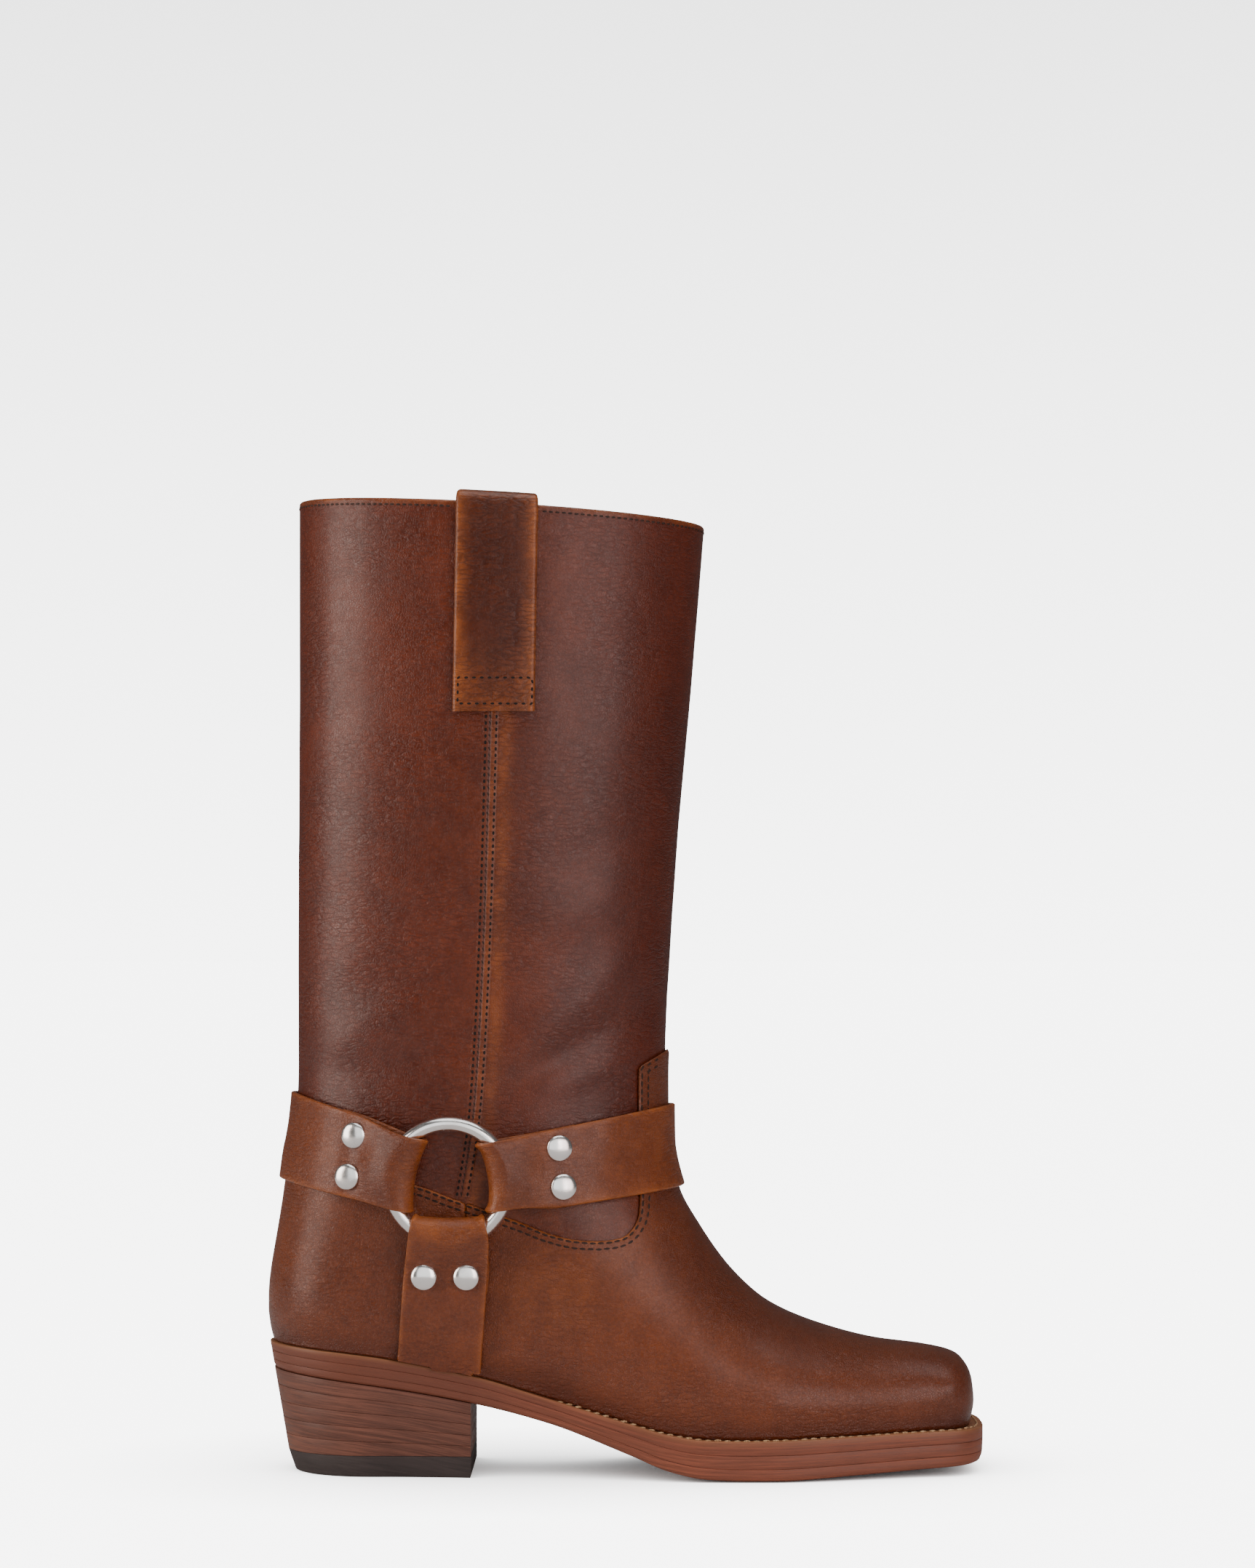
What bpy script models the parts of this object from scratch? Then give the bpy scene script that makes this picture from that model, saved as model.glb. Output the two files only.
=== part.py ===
"""Harness boot for the right foot: a square-toed pull-on boot of brown leather.

Sizes are in millimetres and become metres where a mesh is made. X runs from heel
to toe, Z up, and -Y to the boot's outer side. The origin is on the floor under
the middle of the heel.
"""

from collections import namedtuple

import bmesh
import bpy
import numpy as np
from mathutils import Matrix

MM = 0.001
GAP = 0.3  # clearance between two curved pieces
LATERAL, MEDIAL = -1, 1  # outer and inner side of the boot, as the sign of Y

# Driving sizes of the boot
COLLAR_BACK, COLLAR_FRONT = 368.0, 359.0  # height of the collar's rim
HEEL_SEAT, TOE_FEATHER = 49.3, 17.4  # height of the upper's lower edge, back and toe
HEEL_BACK, TOE_TIP = -40.2, 221.6  # ends of the upper's lower edge
BALL_X, BALL_WIDTH = 140.0, 80.0  # where the foot is widest, at the lower edge
INSTEP_X, INSTEP_HEIGHT = 119.6, 91.5
BREAST_X = 34.4  # front face of the heel
WALL = 2.2  # leather and lining of the upper
OVERLAY = 1.2  # leather of vamp and counter
STRAP = 2.0  # leather of the harness straps

# Loops round the upper, from collar to lower edge. Each runs from a point at the back to a point at the front
# and dips by a share of the lower edge's own dip. The depths say how far the rounding reaches in from either end.
Section = namedtuple("Section", "name back_x back_z front_x front_z dip back_depth front_depth square")
SECTIONS = (
    Section("collar", -32.1, COLLAR_BACK, 122.3, COLLAR_FRONT, 0.00, 77, 77, 2.0),
    Section("calf", -32.1, 310.0, 117.9, 304.0, 0.00, 75, 75, 2.0),
    Section("mid shaft", -32.3, 245.0, 112.2, 240.0, 0.00, 72, 72, 2.0),
    Section("low shaft", -32.6, 190.0, 108.6, 186.0, 0.00, 70, 70, 2.0),
    Section("ankle", -32.5, 155.0, 107.2, 150.0, 0.00, 68, 70, 2.0),
    Section("throat", -33.2, 134.0, 107.4, 126.0, 0.05, 60, 68, 2.0),
    Section("top of foot", -35.2, 117.0, 111.3, 107.0, 0.10, 52, 62, 2.0),
    Section("instep", -37.4, 101.0, INSTEP_X, INSTEP_HEIGHT, 0.20, 44, 54, 2.0),
    Section("low instep", -39.2, 90.0, 132.0, 74.5, 0.35, 39, 46, 2.0),
    Section("waist", -40.6, 82.0, 146.5, 61.9, 0.50, 36, 38, 2.05),
    Section("ball", -41.6, 75.5, 166.5, 53.2, 0.65, 34, 31, 2.15),
    Section("fore ball", -42.2, 70.0, 187.7, 47.6, 0.75, 33, 25, 2.3),
    Section("toe top", -42.4, 65.5, 207.2, 44.9, 0.82, 33, 20, 2.5),
    Section("toe brow", -42.4, 61.0, 218.4, 41.6, 0.88, 33, 16, 2.8),
    Section("toe face", -42.0, 57.0, 222.5, 34.8, 0.93, 33, 13, 3.0),
    Section("toe foot", -41.3, 53.0, 223.3, 26.4, 0.97, 33, 12, 3.2),
    Section("feather", HEEL_BACK, HEEL_SEAT, TOE_TIP, TOE_FEATHER + GAP, 1.00, 33, 12, 3.2),
)

# Outline seen from above: how far each side lies from the centre line, at the lower edge and where the wall swells
Station = namedtuple("Station", "x edge_lateral edge_medial wall_lateral wall_medial")
STATIONS = (
    Station(-42, 29.0, 29.0, 31.3, 31.3),
    Station(-8, 29.3, 29.0, 31.6, 31.5),
    Station(35, 29.3, 26.0, 34.0, 33.0),
    Station(62, 29.8, 22.5, 36.0, 34.0),
    Station(95, 34.5, 28.5, 38.5, 36.5),
    Station(125, 38.8, 38.0, 41.3, 41.3),
    Station(BALL_X + 5, BALL_WIDTH / 2 - 1.3, BALL_WIDTH / 2 + 1.3, 41.0, 43.8),
    Station(165, 35.5, 39.5, 37.6, 41.6),
    Station(185, 29.5, 35.2, 31.3, 37.0),
    Station(205, 23.5, 30.8, 24.8, 32.0),
    Station(222, 20.5, 28.0, 21.5, 29.0),
)
SWELL_HEIGHT = 14.0  # height over which the wall swells out from its lower edge

# Half width of the shaft by height, and where the foot's width passes into it
Girth = namedtuple("Girth", "z half_width")
GIRTHS = (Girth(150, 36.5), Girth(190, 38.0), Girth(245, 41.0), Girth(310, 43.0), Girth(368, 44.5))
ANKLE_FROM, ANKLE_TO = 75.0, 150.0

# The foot's centre line bends inwards towards the toe
Bend = namedtuple("Bend", "x y")
BENDS = (Bend(-45, 0.0), Bend(60, 0.0), Bend(130, 1.2), Bend(185, 2.9), Bend(225, 3.8))

# Sole: height of its top and bottom by length, how far it shows beyond the upper, and how far its edge curls up
SoleRow = namedtuple("SoleRow", "x top bottom reveal curl")
SOLE = (
    SoleRow(-46, 49.4, 39.4, 1.6, 0.0),
    SoleRow(-10, 46.2, 35.2, 1.6, 0.0),
    SoleRow(BREAST_X, 38.4, 28.0, 1.6, 0.0),
    SoleRow(62.5, 30.2, 20.8, 2.0, 0.3),
    SoleRow(95, 20.8, 8.6, 3.0, 0.8),
    SoleRow(108, 17.4, 3.4, 3.5, 1.0),
    SoleRow(122, 15.5, 0.6, 3.8, 1.0),
    SoleRow(136, 15.2, 0.0, 3.9, 1.0),
    SoleRow(150, 15.4, 0.0, 4.0, 1.0),
    SoleRow(173, 16.1, 1.1, 4.2, 1.0),
    SoleRow(200, 16.8, 2.4, 4.4, 1.0),
    SoleRow(228, TOE_FEATHER + 0.2, 3.9, 5.4, 1.0),
)
CURL_WIDTH = 9.0  # width of the edge that curls up
WELT_SHARE, MIDSOLE_SHARE = 0.34, 0.67  # where welt and midsole end, as shares of the sole's thickness
WELT_REST = 2.5  # how far the welt reaches in under the upper's wall
INSOLE_RISE = 1.2  # insole above the upper's lower edge

# Heel: lifts of leather over a rubber top piece, tapering towards the floor
LIFTS = 5
TOP_PIECE = 8.0
TAPER_LENGTH, TAPER_WIDTH = 0.108, 0.14  # shares lost between the heel seat and the floor
TAPER_FADE = (0.0, 62.5)  # the sides' taper fades out between these places along the sole

# Overlays: their edges in side view, from back to front
VAMP_BACK = 33.0
COUNTER_EDGE = ((-60.0, 117.0), (-15.0, 114.5), (13.5, 110.0), (28.9, 104.5), (VAMP_BACK - GAP, 103.3))
VAMP_EDGE = (
    (VAMP_BACK, 103.2), (40.7, 100.5), (53.8, 95.8), (65.2, 91.4), (74.5, 89.3), (82.2, 88.8), (90.0, 89.6),
    (94.1, 92.3), (96.7, 97.5), (97.2, 103.2), (96.6, 136.8), (96.7, 153.5), (108.4, 160.2), (125.0, 169.0),
)

# Harness rings
RING_X, RING_Z = 27.0, 111.8
RING_RADIUS, WIRE_RADIUS = 21.8, 2.7
FOLD_CLEAR = 0.8  # between a fold and the ring's wire
FOLD_BOW, SIDE_FOLD_BOW = 2.0, 1.0  # the middle of a fold's edge lies this much further from the ring's centre

# Strap seat: height of a strap's underside above the upper, from its lower to its upper edge
SEAT = (1.9, 1.9, 1.4, 0.9, 0.5)
SEAT_OVERLAY, SIDE_SEAT = 1.9, 2.3  # on the vamp's tongue, and under the side straps
ACROSS = np.linspace(0.0, 1.0, len(SEAT))
FOLD_HEIGHT = WIRE_RADIUS + FOLD_CLEAR + STRAP / 2  # middle of a strap's fold above the ring's plane
RING_LIFT = SIDE_SEAT + STRAP / 2 + FOLD_HEIGHT  # ring's plane above the upper

# Straps round back and front: the angle of the strap's middle, heights of its edges beside the ring and at its
# middle, how far the fold's corners stay from the ring's centre, the strap's rise from the ring in degrees, how far
# beyond the ring's wire its rivets are, and how much further off the lower rivet is than the upper one
RoundStrap = namedtuple(
    "RoundStrap", "name middle low_ring top_ring low_middle top_middle fold_at rise rivet_at rivet_lean")
ROUND_STRAPS = (
    RoundStrap("strap_back", 180.0, 97.5, 126.8, 110.4, 143.6, 10.3, 12.0, 14.5, 2.1),
    RoundStrap("strap_front", 0.0, 96.5, 123.7, 107.0, 139.0, 12.6, 8.6, 18.6, 0.0),
)
FOLD_NARROWED = 0.95  # width of a round strap at its fold, as a share of its width beside the ring
TONGUE_ANGLE = 46.0  # the front strap lies on the vamp's tongue up to this angle from the front

# Straps down the sides
SIDE_WIDTH, SIDE_FOLD_WIDTH = 31.5, 25.7
SIDE_LEAN = -0.085  # the strap's foot lies this share of its drop further back
SIDE_FOLD_AT = 12.1
SIDE_RIVET_AT = 13.9
SIDE_STEPS = 5  # steps of a side strap from its doubled end to its foot
SIDE_FOOT = 0.5  # foot of a side strap above the upper's lower edge

# A strap's two layers beside its rivets: distance from the ring's wire, measured from the rivets, and height of
# the layer's middle above the seat
Layer = namedtuple("Layer", "from_rivet lift")
OUTER_LAYER = (Layer(-5.5, 4.0), Layer(0.0, 4.0), Layer(5.5, 3.8), Layer(10.0, 3.4), Layer(17.0, 1.0))
INNER_LAYER = (Layer(6.5, 1.0), Layer(-4.0, 1.5))
FOLD_ANGLES = (-90, -45, 0, 45, 90, 135)  # round the ring's wire, from the inner to the outer layer
BODY_STEPS = 7  # steps of a strap from its doubled end to the boot's middle
RIVET_ACROSS = {"lower": 0.25, "upper": 0.75}
RIVET_RADIUS, RIVET_HEIGHT, RIVET_RIM = 4.9, 2.4, 0.8
RIVET_CLEAR = 0.45  # between a flat rivet and the curved strap

# Pull straps over the collar
PULL_FROM, PULL_TO = 29.7, 59.8
PULL_FOOT, PULL_INSIDE_FOOT = 286.0, 318.0
PULL = 3.0  # doubled leather
PULL_LEAN = 0.018  # the strap's foot lies this share of its drop further back

# Fineness of the solids
ROWS = 22  # loops of the upper
HALF_COLUMNS = 18  # columns on each side of the upper
OVERLAY_TOP = 4  # row of the upper where the overlays' forms start
SOLE_STATIONS = 32  # stations along each side of the sole
HEEL_STATIONS = 12
FINE = 181  # points on a curve before it is spaced out
TURN_WEIGHT = 0.45  # share of the columns that follow a loop's bends rather than its length


def through(x, xs, ys):
    """Smooth curve through a table's points, with no overshoot between them."""
    xs, ys = np.asarray(xs, float), np.asarray(ys, float)
    step = np.diff(xs)
    slope = np.diff(ys) / step
    pair = slope[:-1] * slope[1:]
    level = pair <= 0
    inner = np.where(level, 0.0, 2 * pair / np.where(level, 1.0, slope[:-1] + slope[1:]))
    tangent = np.concatenate([slope[:1], inner, slope[-1:]])
    x = np.clip(x, xs[0], xs[-1])
    i = np.clip(np.searchsorted(xs, x) - 1, 0, len(step) - 1)
    u = (x - xs[i]) / step[i]
    rise = (3 - 2 * u) * u**2
    bow = step[i] * (tangent[i] * u * (1 - u) ** 2 - tangent[i + 1] * u**2 * (1 - u))
    return ys[i] * (1 - rise) + ys[i + 1] * rise + bow


def column(table, name):
    return [getattr(row, name) for row in table]


def smoothstep(low, high, x):
    u = np.clip((x - low) / (high - low), 0.0, 1.0)
    return u * u * (3 - 2 * u)


# Each section's place t along the boot's front, 0 at the collar and 1 at the lower edge
FRONT_STEPS = np.hypot(np.diff(column(SECTIONS, "front_x")), np.diff(column(SECTIONS, "front_z")))
SECTION_T = np.concatenate([[0.0], np.cumsum(FRONT_STEPS)]) / FRONT_STEPS.sum()


def section(name, t):
    """A column of the section table at any t."""
    return through(t, SECTION_T, column(SECTIONS, name))


def t_of(index):
    """The t of a section counted from the collar, also between two sections."""
    return np.interp(index, np.arange(len(SECTIONS)), SECTION_T)


LINE_T = np.linspace(0.0, 1.0, FINE)
FRONT_LINE = np.stack([section("front_x", LINE_T), section("front_z", LINE_T)], axis=-1)
BACK_LINE = np.stack([section("back_x", LINE_T), section("back_z", LINE_T)], axis=-1)


def nearest(line, x, z):
    """Distance from each point to a line in side view, and the t of the nearest place on it."""
    points = np.stack(np.broadcast_arrays(x, z), axis=-1)[..., None, :]
    start, step = line[:-1], np.diff(line, axis=0)
    along = np.clip(((points - start) * step).sum(-1) / (step * step).sum(-1), 0.0, 1.0)
    gaps = np.linalg.norm(points - start - along[..., None] * step, axis=-1)
    best = gaps.argmin(-1)[..., None]
    place = best + np.take_along_axis(along, best, -1)
    return np.take_along_axis(gaps, best, -1)[..., 0], place[..., 0] / (len(line) - 1)


def rounding(distance, depth, square):
    """Share of the full width at a distance from the outline's end: a quarter of a superellipse."""
    rest = 1 - np.clip(distance / depth, 0.0, 1.0)
    return (1 - rest**square) ** (1 / square)


def sole(name, x):
    return through(x, column(SOLE, "x"), column(SOLE, name))


def feather(x):
    """Height of the upper's lower edge."""
    return sole("top", x) + GAP


def centre(x):
    return through(x, column(BENDS, "x"), column(BENDS, "y"))


def half_width(x, z, side):
    """Width of the upper from its centre line to one side, at a place in side view."""
    label = "lateral" if side == LATERAL else "medial"
    xs = column(STATIONS, "x")
    edge = through(x, xs, column(STATIONS, "edge_" + label))
    wall = through(x, xs, column(STATIONS, "wall_" + label))
    foot = edge + (wall - edge) * smoothstep(0.0, SWELL_HEIGHT, z - feather(x)) - side * centre(x)
    shaft = through(z, column(GIRTHS, "z"), column(GIRTHS, "half_width"))
    full = foot + (shaft - foot) * smoothstep(ANKLE_FROM, ANKLE_TO, z)
    front, front_t = nearest(FRONT_LINE, x, z)
    back, back_t = nearest(BACK_LINE, x, z)
    front_round = rounding(front, section("front_depth", front_t), section("square", front_t))
    return full * front_round * rounding(back, section("back_depth", back_t), 2.0)


def spaced(points, count):
    """A line of points spaced out again, closer where it bends."""
    steps = np.diff(points, axis=0)
    lengths = np.linalg.norm(steps, axis=1)
    ways = steps / lengths[:, None]
    turns = np.arccos(np.clip((ways[:-1] * ways[1:]).sum(1), -1.0, 1.0))
    turns = np.concatenate([turns[:1] / 2, (turns[:-1] + turns[1:]) / 2, turns[-1:] / 2])
    share = (1 - TURN_WEIGHT) * lengths / lengths.sum() + TURN_WEIGHT * turns / turns.sum()
    place = np.concatenate([[0.0], np.cumsum(share)])
    wanted = np.linspace(0.0, place[-1], count + 1)
    return np.stack([np.interp(wanted, place, points[:, k]) for k in range(3)], axis=-1)


def half_loop(t, side, count):
    """One side of the upper's loop at t, from the middle of the front to the middle of the back."""
    share = 0.5 - 0.5 * np.cos(np.pi * np.linspace(0.0, 1.0, FINE))
    front_x, back_x = section("front_x", t), section("back_x", t)
    front_z, back_z = section("front_z", t), section("back_z", t)
    edge_x = TOE_TIP + (HEEL_BACK - TOE_TIP) * share
    edge_chord = feather(TOE_TIP) + (feather(HEEL_BACK) - feather(TOE_TIP)) * share
    x = front_x + (back_x - front_x) * share
    z = front_z + (back_z - front_z) * share + section("dip", t) * (feather(edge_x) - edge_chord)
    width = half_width(x, z, side)
    width[[0, -1]] = 0.0
    return spaced(np.stack([x, centre(x) + side * width, z], axis=-1), count)


def loop(t, count):
    """The upper's loop at t: front, lateral side, back, medial side."""
    lateral, medial = half_loop(t, LATERAL, count), half_loop(t, MEDIAL, count)
    return np.concatenate([lateral, medial[-2:0:-1]])


def outward(rows):
    """Unit normals of loops stacked from the collar down. Those of the two end loops are level."""
    along = np.roll(rows, -1, axis=1) - np.roll(rows, 1, axis=1)
    normal = np.cross(along, np.gradient(rows, axis=0))
    normal[[0, -1], :, 2] = 0.0
    return normal / np.linalg.norm(normal, axis=-1, keepdims=True)


def clear_scene():
    for old in list(bpy.data.objects):
        bpy.data.objects.remove(old, do_unlink=True)


def material(name, colour, roughness, metallic=0.0):
    made = bpy.data.materials.get(name)
    if made is None:
        made = bpy.data.materials.new(name)
        made.use_nodes = True
        shader = made.node_tree.nodes["Principled BSDF"]
        shader.inputs["Base Color"].default_value = (*colour, 1.0)
        shader.inputs["Roughness"].default_value = roughness
        shader.inputs["Metallic"].default_value = metallic
    return made


def upper_leather():
    return material("upper_leather", (0.135, 0.038, 0.014), 0.38)


def strap_leather():
    return material("strap_leather", (0.150, 0.045, 0.017), 0.42)


def sole_leather():
    return material("sole_leather", (0.165, 0.055, 0.027), 0.55)


def heel_rubber():
    return material("heel_rubber", (0.035, 0.026, 0.025), 0.7)


def insole_leather():
    return material("insole_leather", (0.36, 0.22, 0.12), 0.6)


def nickel():
    return material("nickel", (0.78, 0.77, 0.75), 0.16, 1.0)


def place(name, mesh, finish):
    """An object for a mesh, shaded smooth apart from its sharp edges."""
    mesh.shade_smooth()
    mesh.set_sharp_from_angle(angle=np.radians(40))
    mesh.materials.append(finish)
    made = bpy.data.objects.new(name, mesh)
    bpy.context.scene.collection.objects.link(made)
    return made


def finished_mesh(name, bm):
    """A mesh whose faces all point outwards."""
    bmesh.ops.recalc_face_normals(bm, faces=bm.faces)
    if bm.calc_volume(signed=True) < 0:
        bmesh.ops.reverse_faces(bm, faces=bm.faces)
    mesh = bpy.data.meshes.new(name)
    bm.to_mesh(mesh)
    bm.free()
    return mesh


def skin(name, rows, finish, ring=False):
    """A solid from loops of points: a grid bent round them and closed, end to end too where it is a ring."""
    rows = np.concatenate([rows, rows[:1]]) if ring else rows
    rows = np.concatenate([rows, rows[:, :1]], axis=1) * MM
    bm = bmesh.new()
    bmesh.ops.create_grid(bm, x_segments=rows.shape[1] - 1, y_segments=rows.shape[0] - 1, size=1.0)
    bm.verts.ensure_lookup_table()
    for vert, point in zip(bm.verts, rows.reshape(-1, 3)):
        vert.co = point
    bmesh.ops.remove_doubles(bm, verts=bm.verts, dist=0.001 * MM)
    bmesh.ops.triangulate(bm, faces=bm.faces, quad_method="SHORT_EDGE")
    return place(name, finished_mesh(name, bm), finish)


def closed_ends(rows, pairs):
    """Loops with both ends closed: each end gains a loop on its own middle line."""
    first = (rows[:1] + rows[:1][:, pairs]) / 2
    last = (rows[-1:] + rows[-1:][:, pairs]) / 2
    return np.concatenate([first, rows, last])


def ribbon(name, middle, thickness, finish):
    """A strap: rows of points across it, given the strap's thickness."""
    normal = np.cross(np.gradient(middle, axis=0), np.gradient(middle, axis=1))
    normal *= thickness / 2 / np.linalg.norm(normal, axis=-1, keepdims=True)
    count = middle.shape[1]
    loops = np.concatenate([middle + normal, (middle - normal)[:, ::-1]], axis=1)
    return skin(name, closed_ends(loops, np.arange(2 * count)[::-1]), finish)


# Upper, vamp and counter


def shell(name, rows, inner, outer, finish):
    """A wall between two distances from the upper's outer face, open above and below."""
    normal = outward(rows)
    wall = np.concatenate([rows + outer * normal, (rows + inner * normal)[::-1]])
    return skin(name, wall, finish, ring=True)


def upper_rows(first=0):
    """Loops of the upper from one of its rows down to the lower edge."""
    places = np.linspace(0, len(SECTIONS) - 1, ROWS)[first:]
    return np.stack([loop(t_of(place), HALF_COLUMNS) for place in places])


def side_cutter(name, outline):
    """A hidden prism through the boot with an outline drawn in side view."""
    depth = 80.0
    bm = bmesh.new()
    face = bm.faces.new([bm.verts.new((x * MM, -depth * MM, z * MM)) for x, z in outline])
    grown = bmesh.ops.extrude_face_region(bm, geom=[face])["geom"]
    moved = [item for item in grown if isinstance(item, bmesh.types.BMVert)]
    bmesh.ops.translate(bm, verts=moved, vec=(0.0, 2 * depth * MM, 0.0))
    made = place(name, finished_mesh(name, bm), strap_leather())
    made.hide_render = True
    made.display_type = "WIRE"
    return made


def overlay(name, outline):
    made = shell(name, upper_rows(OVERLAY_TOP), GAP, GAP + OVERLAY, upper_leather())
    cut = made.modifiers.new("outline", "BOOLEAN")
    cut.operation = "INTERSECT"
    cut.solver = "EXACT"
    cut.object = side_cutter(name + "_outline", outline)


def make_upper():
    shell("upper", upper_rows(), -WALL, 0.0, upper_leather())
    below, ahead = 0.0, 240.0
    overlay("vamp", (*VAMP_EDGE, (ahead, VAMP_EDGE[-1][1]), (ahead, below), (VAMP_BACK, below)))
    overlay("counter", (*COUNTER_EDGE, (VAMP_BACK - GAP, below), (COUNTER_EDGE[0][0], below)))


# Sole and heel


def sole_side(side, grow):
    """One side of the sole's outline, offset from the upper's lower edge, from toe to heel."""
    line = half_loop(1.0, side, FINE)
    way = np.gradient(line[:, :2], axis=0)
    normal = side * np.stack([way[:, 1], -way[:, 0]], axis=-1) / np.linalg.norm(way, axis=1)[:, None]
    normal[0], normal[-1] = (1.0, 0.0), (-1.0, 0.0)
    line[:, :2] += normal * np.reshape(grow(line[:, 0]), (-1, 1))
    return line


def stations(sides, count):
    """Both sides of an outline cut at the same places along the boot, closer where the lateral side bends."""
    x = spaced(sides[0], count)[:, 0]
    return [np.column_stack([x, np.interp(x, side[::-1, 0], side[::-1, 1])]) for side in sides]


def shown(x):
    """How far the sole reaches beyond the upper's own wall."""
    return GAP + OVERLAY + sole("reveal", x)


def inset(amount):
    return lambda x: np.full_like(x, -amount)


def level(x, share):
    """Height in the sole's thickness, 0 at its top and 1 at its bottom."""
    return sole("top", x) + (sole("bottom", x) - sole("top", x)) * share


def tapered(plan, z):
    """Outline points drawn in towards the heel's breast with their depth below the heel seat."""
    drop = np.clip((HEEL_SEAT - z) / HEEL_SEAT, 0.0, 1.0)
    behind = np.clip(BREAST_X - plan[:, 0], 0.0, None)
    fade = 1 - smoothstep(*TAPER_FADE, plan[:, 0])
    x = plan[:, 0] + behind * TAPER_LENGTH * drop
    return np.stack([x, plan[:, 1] * (1 - TAPER_WIDTH * drop * fade), z], axis=-1)


def plate(name, edges, finish):
    """A layer made of strips across the boot, closed round each strip through its edges."""
    return skin(name, np.stack(edges, axis=1), finish)


def sole_plan(grow):
    return stations([sole_side(side, grow) for side in (LATERAL, MEDIAL)], SOLE_STATIONS)


def sole_edges(plan, share, lift=0.0):
    """Both sides of an outline at one level of the sole, from lateral to medial."""
    return [tapered(line, level(line[:, 0], share) + lift) for line in plan]


def make_sole():
    outline = sole_plan(shown)
    make_welt(outline)
    plate("midsole", sole_edges(outline, WELT_SHARE, -GAP) + sole_edges(outline, MIDSOLE_SHARE)[::-1], sole_leather())
    curled = [edge + (0.0, 0.0, 1.0) * sole("curl", edge[:, :1]) for edge in sole_edges(outline, 1.0)]
    flat = sole_edges(sole_plan(lambda x: shown(x) - CURL_WIDTH), 1.0)
    plate("outsole", [*sole_edges(outline, MIDSOLE_SHARE, -GAP), curled[1], flat[1], flat[0], curled[0]],
          sole_leather())
    board = sole_plan(inset(WELT_REST + GAP))
    top = [np.column_stack([line, feather(line[:, 0]) + INSOLE_RISE]) for line in board]
    bottom = [np.column_stack([line, level(line[:, 0], WELT_SHARE) + GAP]) for line in board]
    plate("insole", top + bottom[::-1], insole_leather())


def make_welt(outline):
    rest = sole_plan(inset(WELT_REST))
    outer, inner = (np.concatenate([lateral, medial[-2:0:-1]]) for lateral, medial in (outline, rest))
    rows = [tapered(outer, level(outer[:, 0], 0.0)), tapered(outer, level(outer[:, 0], WELT_SHARE))]
    rows += [np.column_stack([inner, level(inner[:, 0], share)]) for share in (WELT_SHARE, 0.0)]
    skin("welt", np.stack(rows), sole_leather(), ring=True)


def heel_side(side):
    """One side of the heel's outline, from the breast to the back."""
    line = sole_side(side, shown)
    start = np.argmax(line[:, 0] < BREAST_X)
    before, after = line[start - 1], line[start]
    corner = before + (after - before) * (BREAST_X - before[0]) / (after[0] - before[0])
    return np.concatenate([[corner], line[start:]])


def make_heel():
    sides = stations([heel_side(LATERAL), heel_side(MEDIAL)], HEEL_STATIONS)

    def height(x, lift):
        return sole("bottom", x) + (TOP_PIECE - sole("bottom", x)) * lift / LIFTS

    for lift in range(LIFTS):
        heel_block(f"heel_lift_{lift + 1}", sides, lambda x: height(x, lift) - GAP, lambda x: height(x, lift + 1),
                   sole_leather())
    heel_block("heel_top_piece", sides, lambda x: np.full_like(x, TOP_PIECE - GAP), np.zeros_like, heel_rubber())


def heel_block(name, sides, top, bottom, finish):
    upper_edge = [tapered(plan, top(plan[:, 0])) for plan in sides]
    lower_edge = [tapered(plan, bottom(plan[:, 0])) for plan in sides]
    rows = np.stack([upper_edge[0], upper_edge[1], lower_edge[1], lower_edge[0]], axis=1)
    breast = (rows[:1] + rows[:1][:, [3, 2, 1, 0]]) / 2
    skin(name, np.concatenate([breast, rows]), finish)


# Harness


def on_side(side, x, z, lift):
    """A point over the upper's side wall, placed in side view and lifted off the wall."""
    x, z, lift = np.broadcast_arrays(np.asarray(x, float), z, lift)
    nudge = 0.5

    def y(at_x, at_z):
        return centre(at_x) + side * half_width(at_x, at_z, side)

    by_x = (y(x + nudge, z) - y(x - nudge, z)) / (2 * nudge)
    by_z = (y(x, z + nudge) - y(x, z - nudge)) / (2 * nudge)
    normal = side * np.stack([-by_x, np.ones_like(by_x), -by_z], axis=-1)
    normal /= np.linalg.norm(normal, axis=-1, keepdims=True)
    return np.stack([x, y(x, z), z], axis=-1) + normal * lift[..., None]


def around(angle, z, lift):
    """A point over the ankle at an angle from the front: 90 is the lateral side, 180 the back, 270 the medial."""
    angle, z, lift = np.broadcast_arrays(np.asarray(angle, float), z, lift)

    def wall_point(at_angle, at_z):
        turn = np.radians(at_angle)
        front = np.interp(at_z, FRONT_LINE[::-1, 1], FRONT_LINE[::-1, 0])
        back = np.interp(at_z, BACK_LINE[::-1, 1], BACK_LINE[::-1, 0])
        x = (front + back) / 2 + (front - back) / 2 * np.cos(turn)
        lateral, medial = half_width(x, at_z, LATERAL), half_width(x, at_z, MEDIAL)
        width = np.where(np.sin(turn) > 0, -lateral, medial)
        on_middle = np.abs(np.sin(turn)) < 1e-6
        return np.stack([x, centre(x) + np.where(on_middle, 0.0, width), at_z], axis=-1)

    step_angle, step_z = 1.5, 1.0
    along = wall_point(angle + step_angle, z) - wall_point(angle - step_angle, z)
    up = wall_point(angle, z + step_z) - wall_point(angle, z - step_z)
    normal = np.cross(up, along)
    normal /= np.linalg.norm(normal, axis=-1, keepdims=True)
    return wall_point(angle, z) + normal * lift[..., None]


Ring = namedtuple("Ring", "middle forward up normal")


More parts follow.
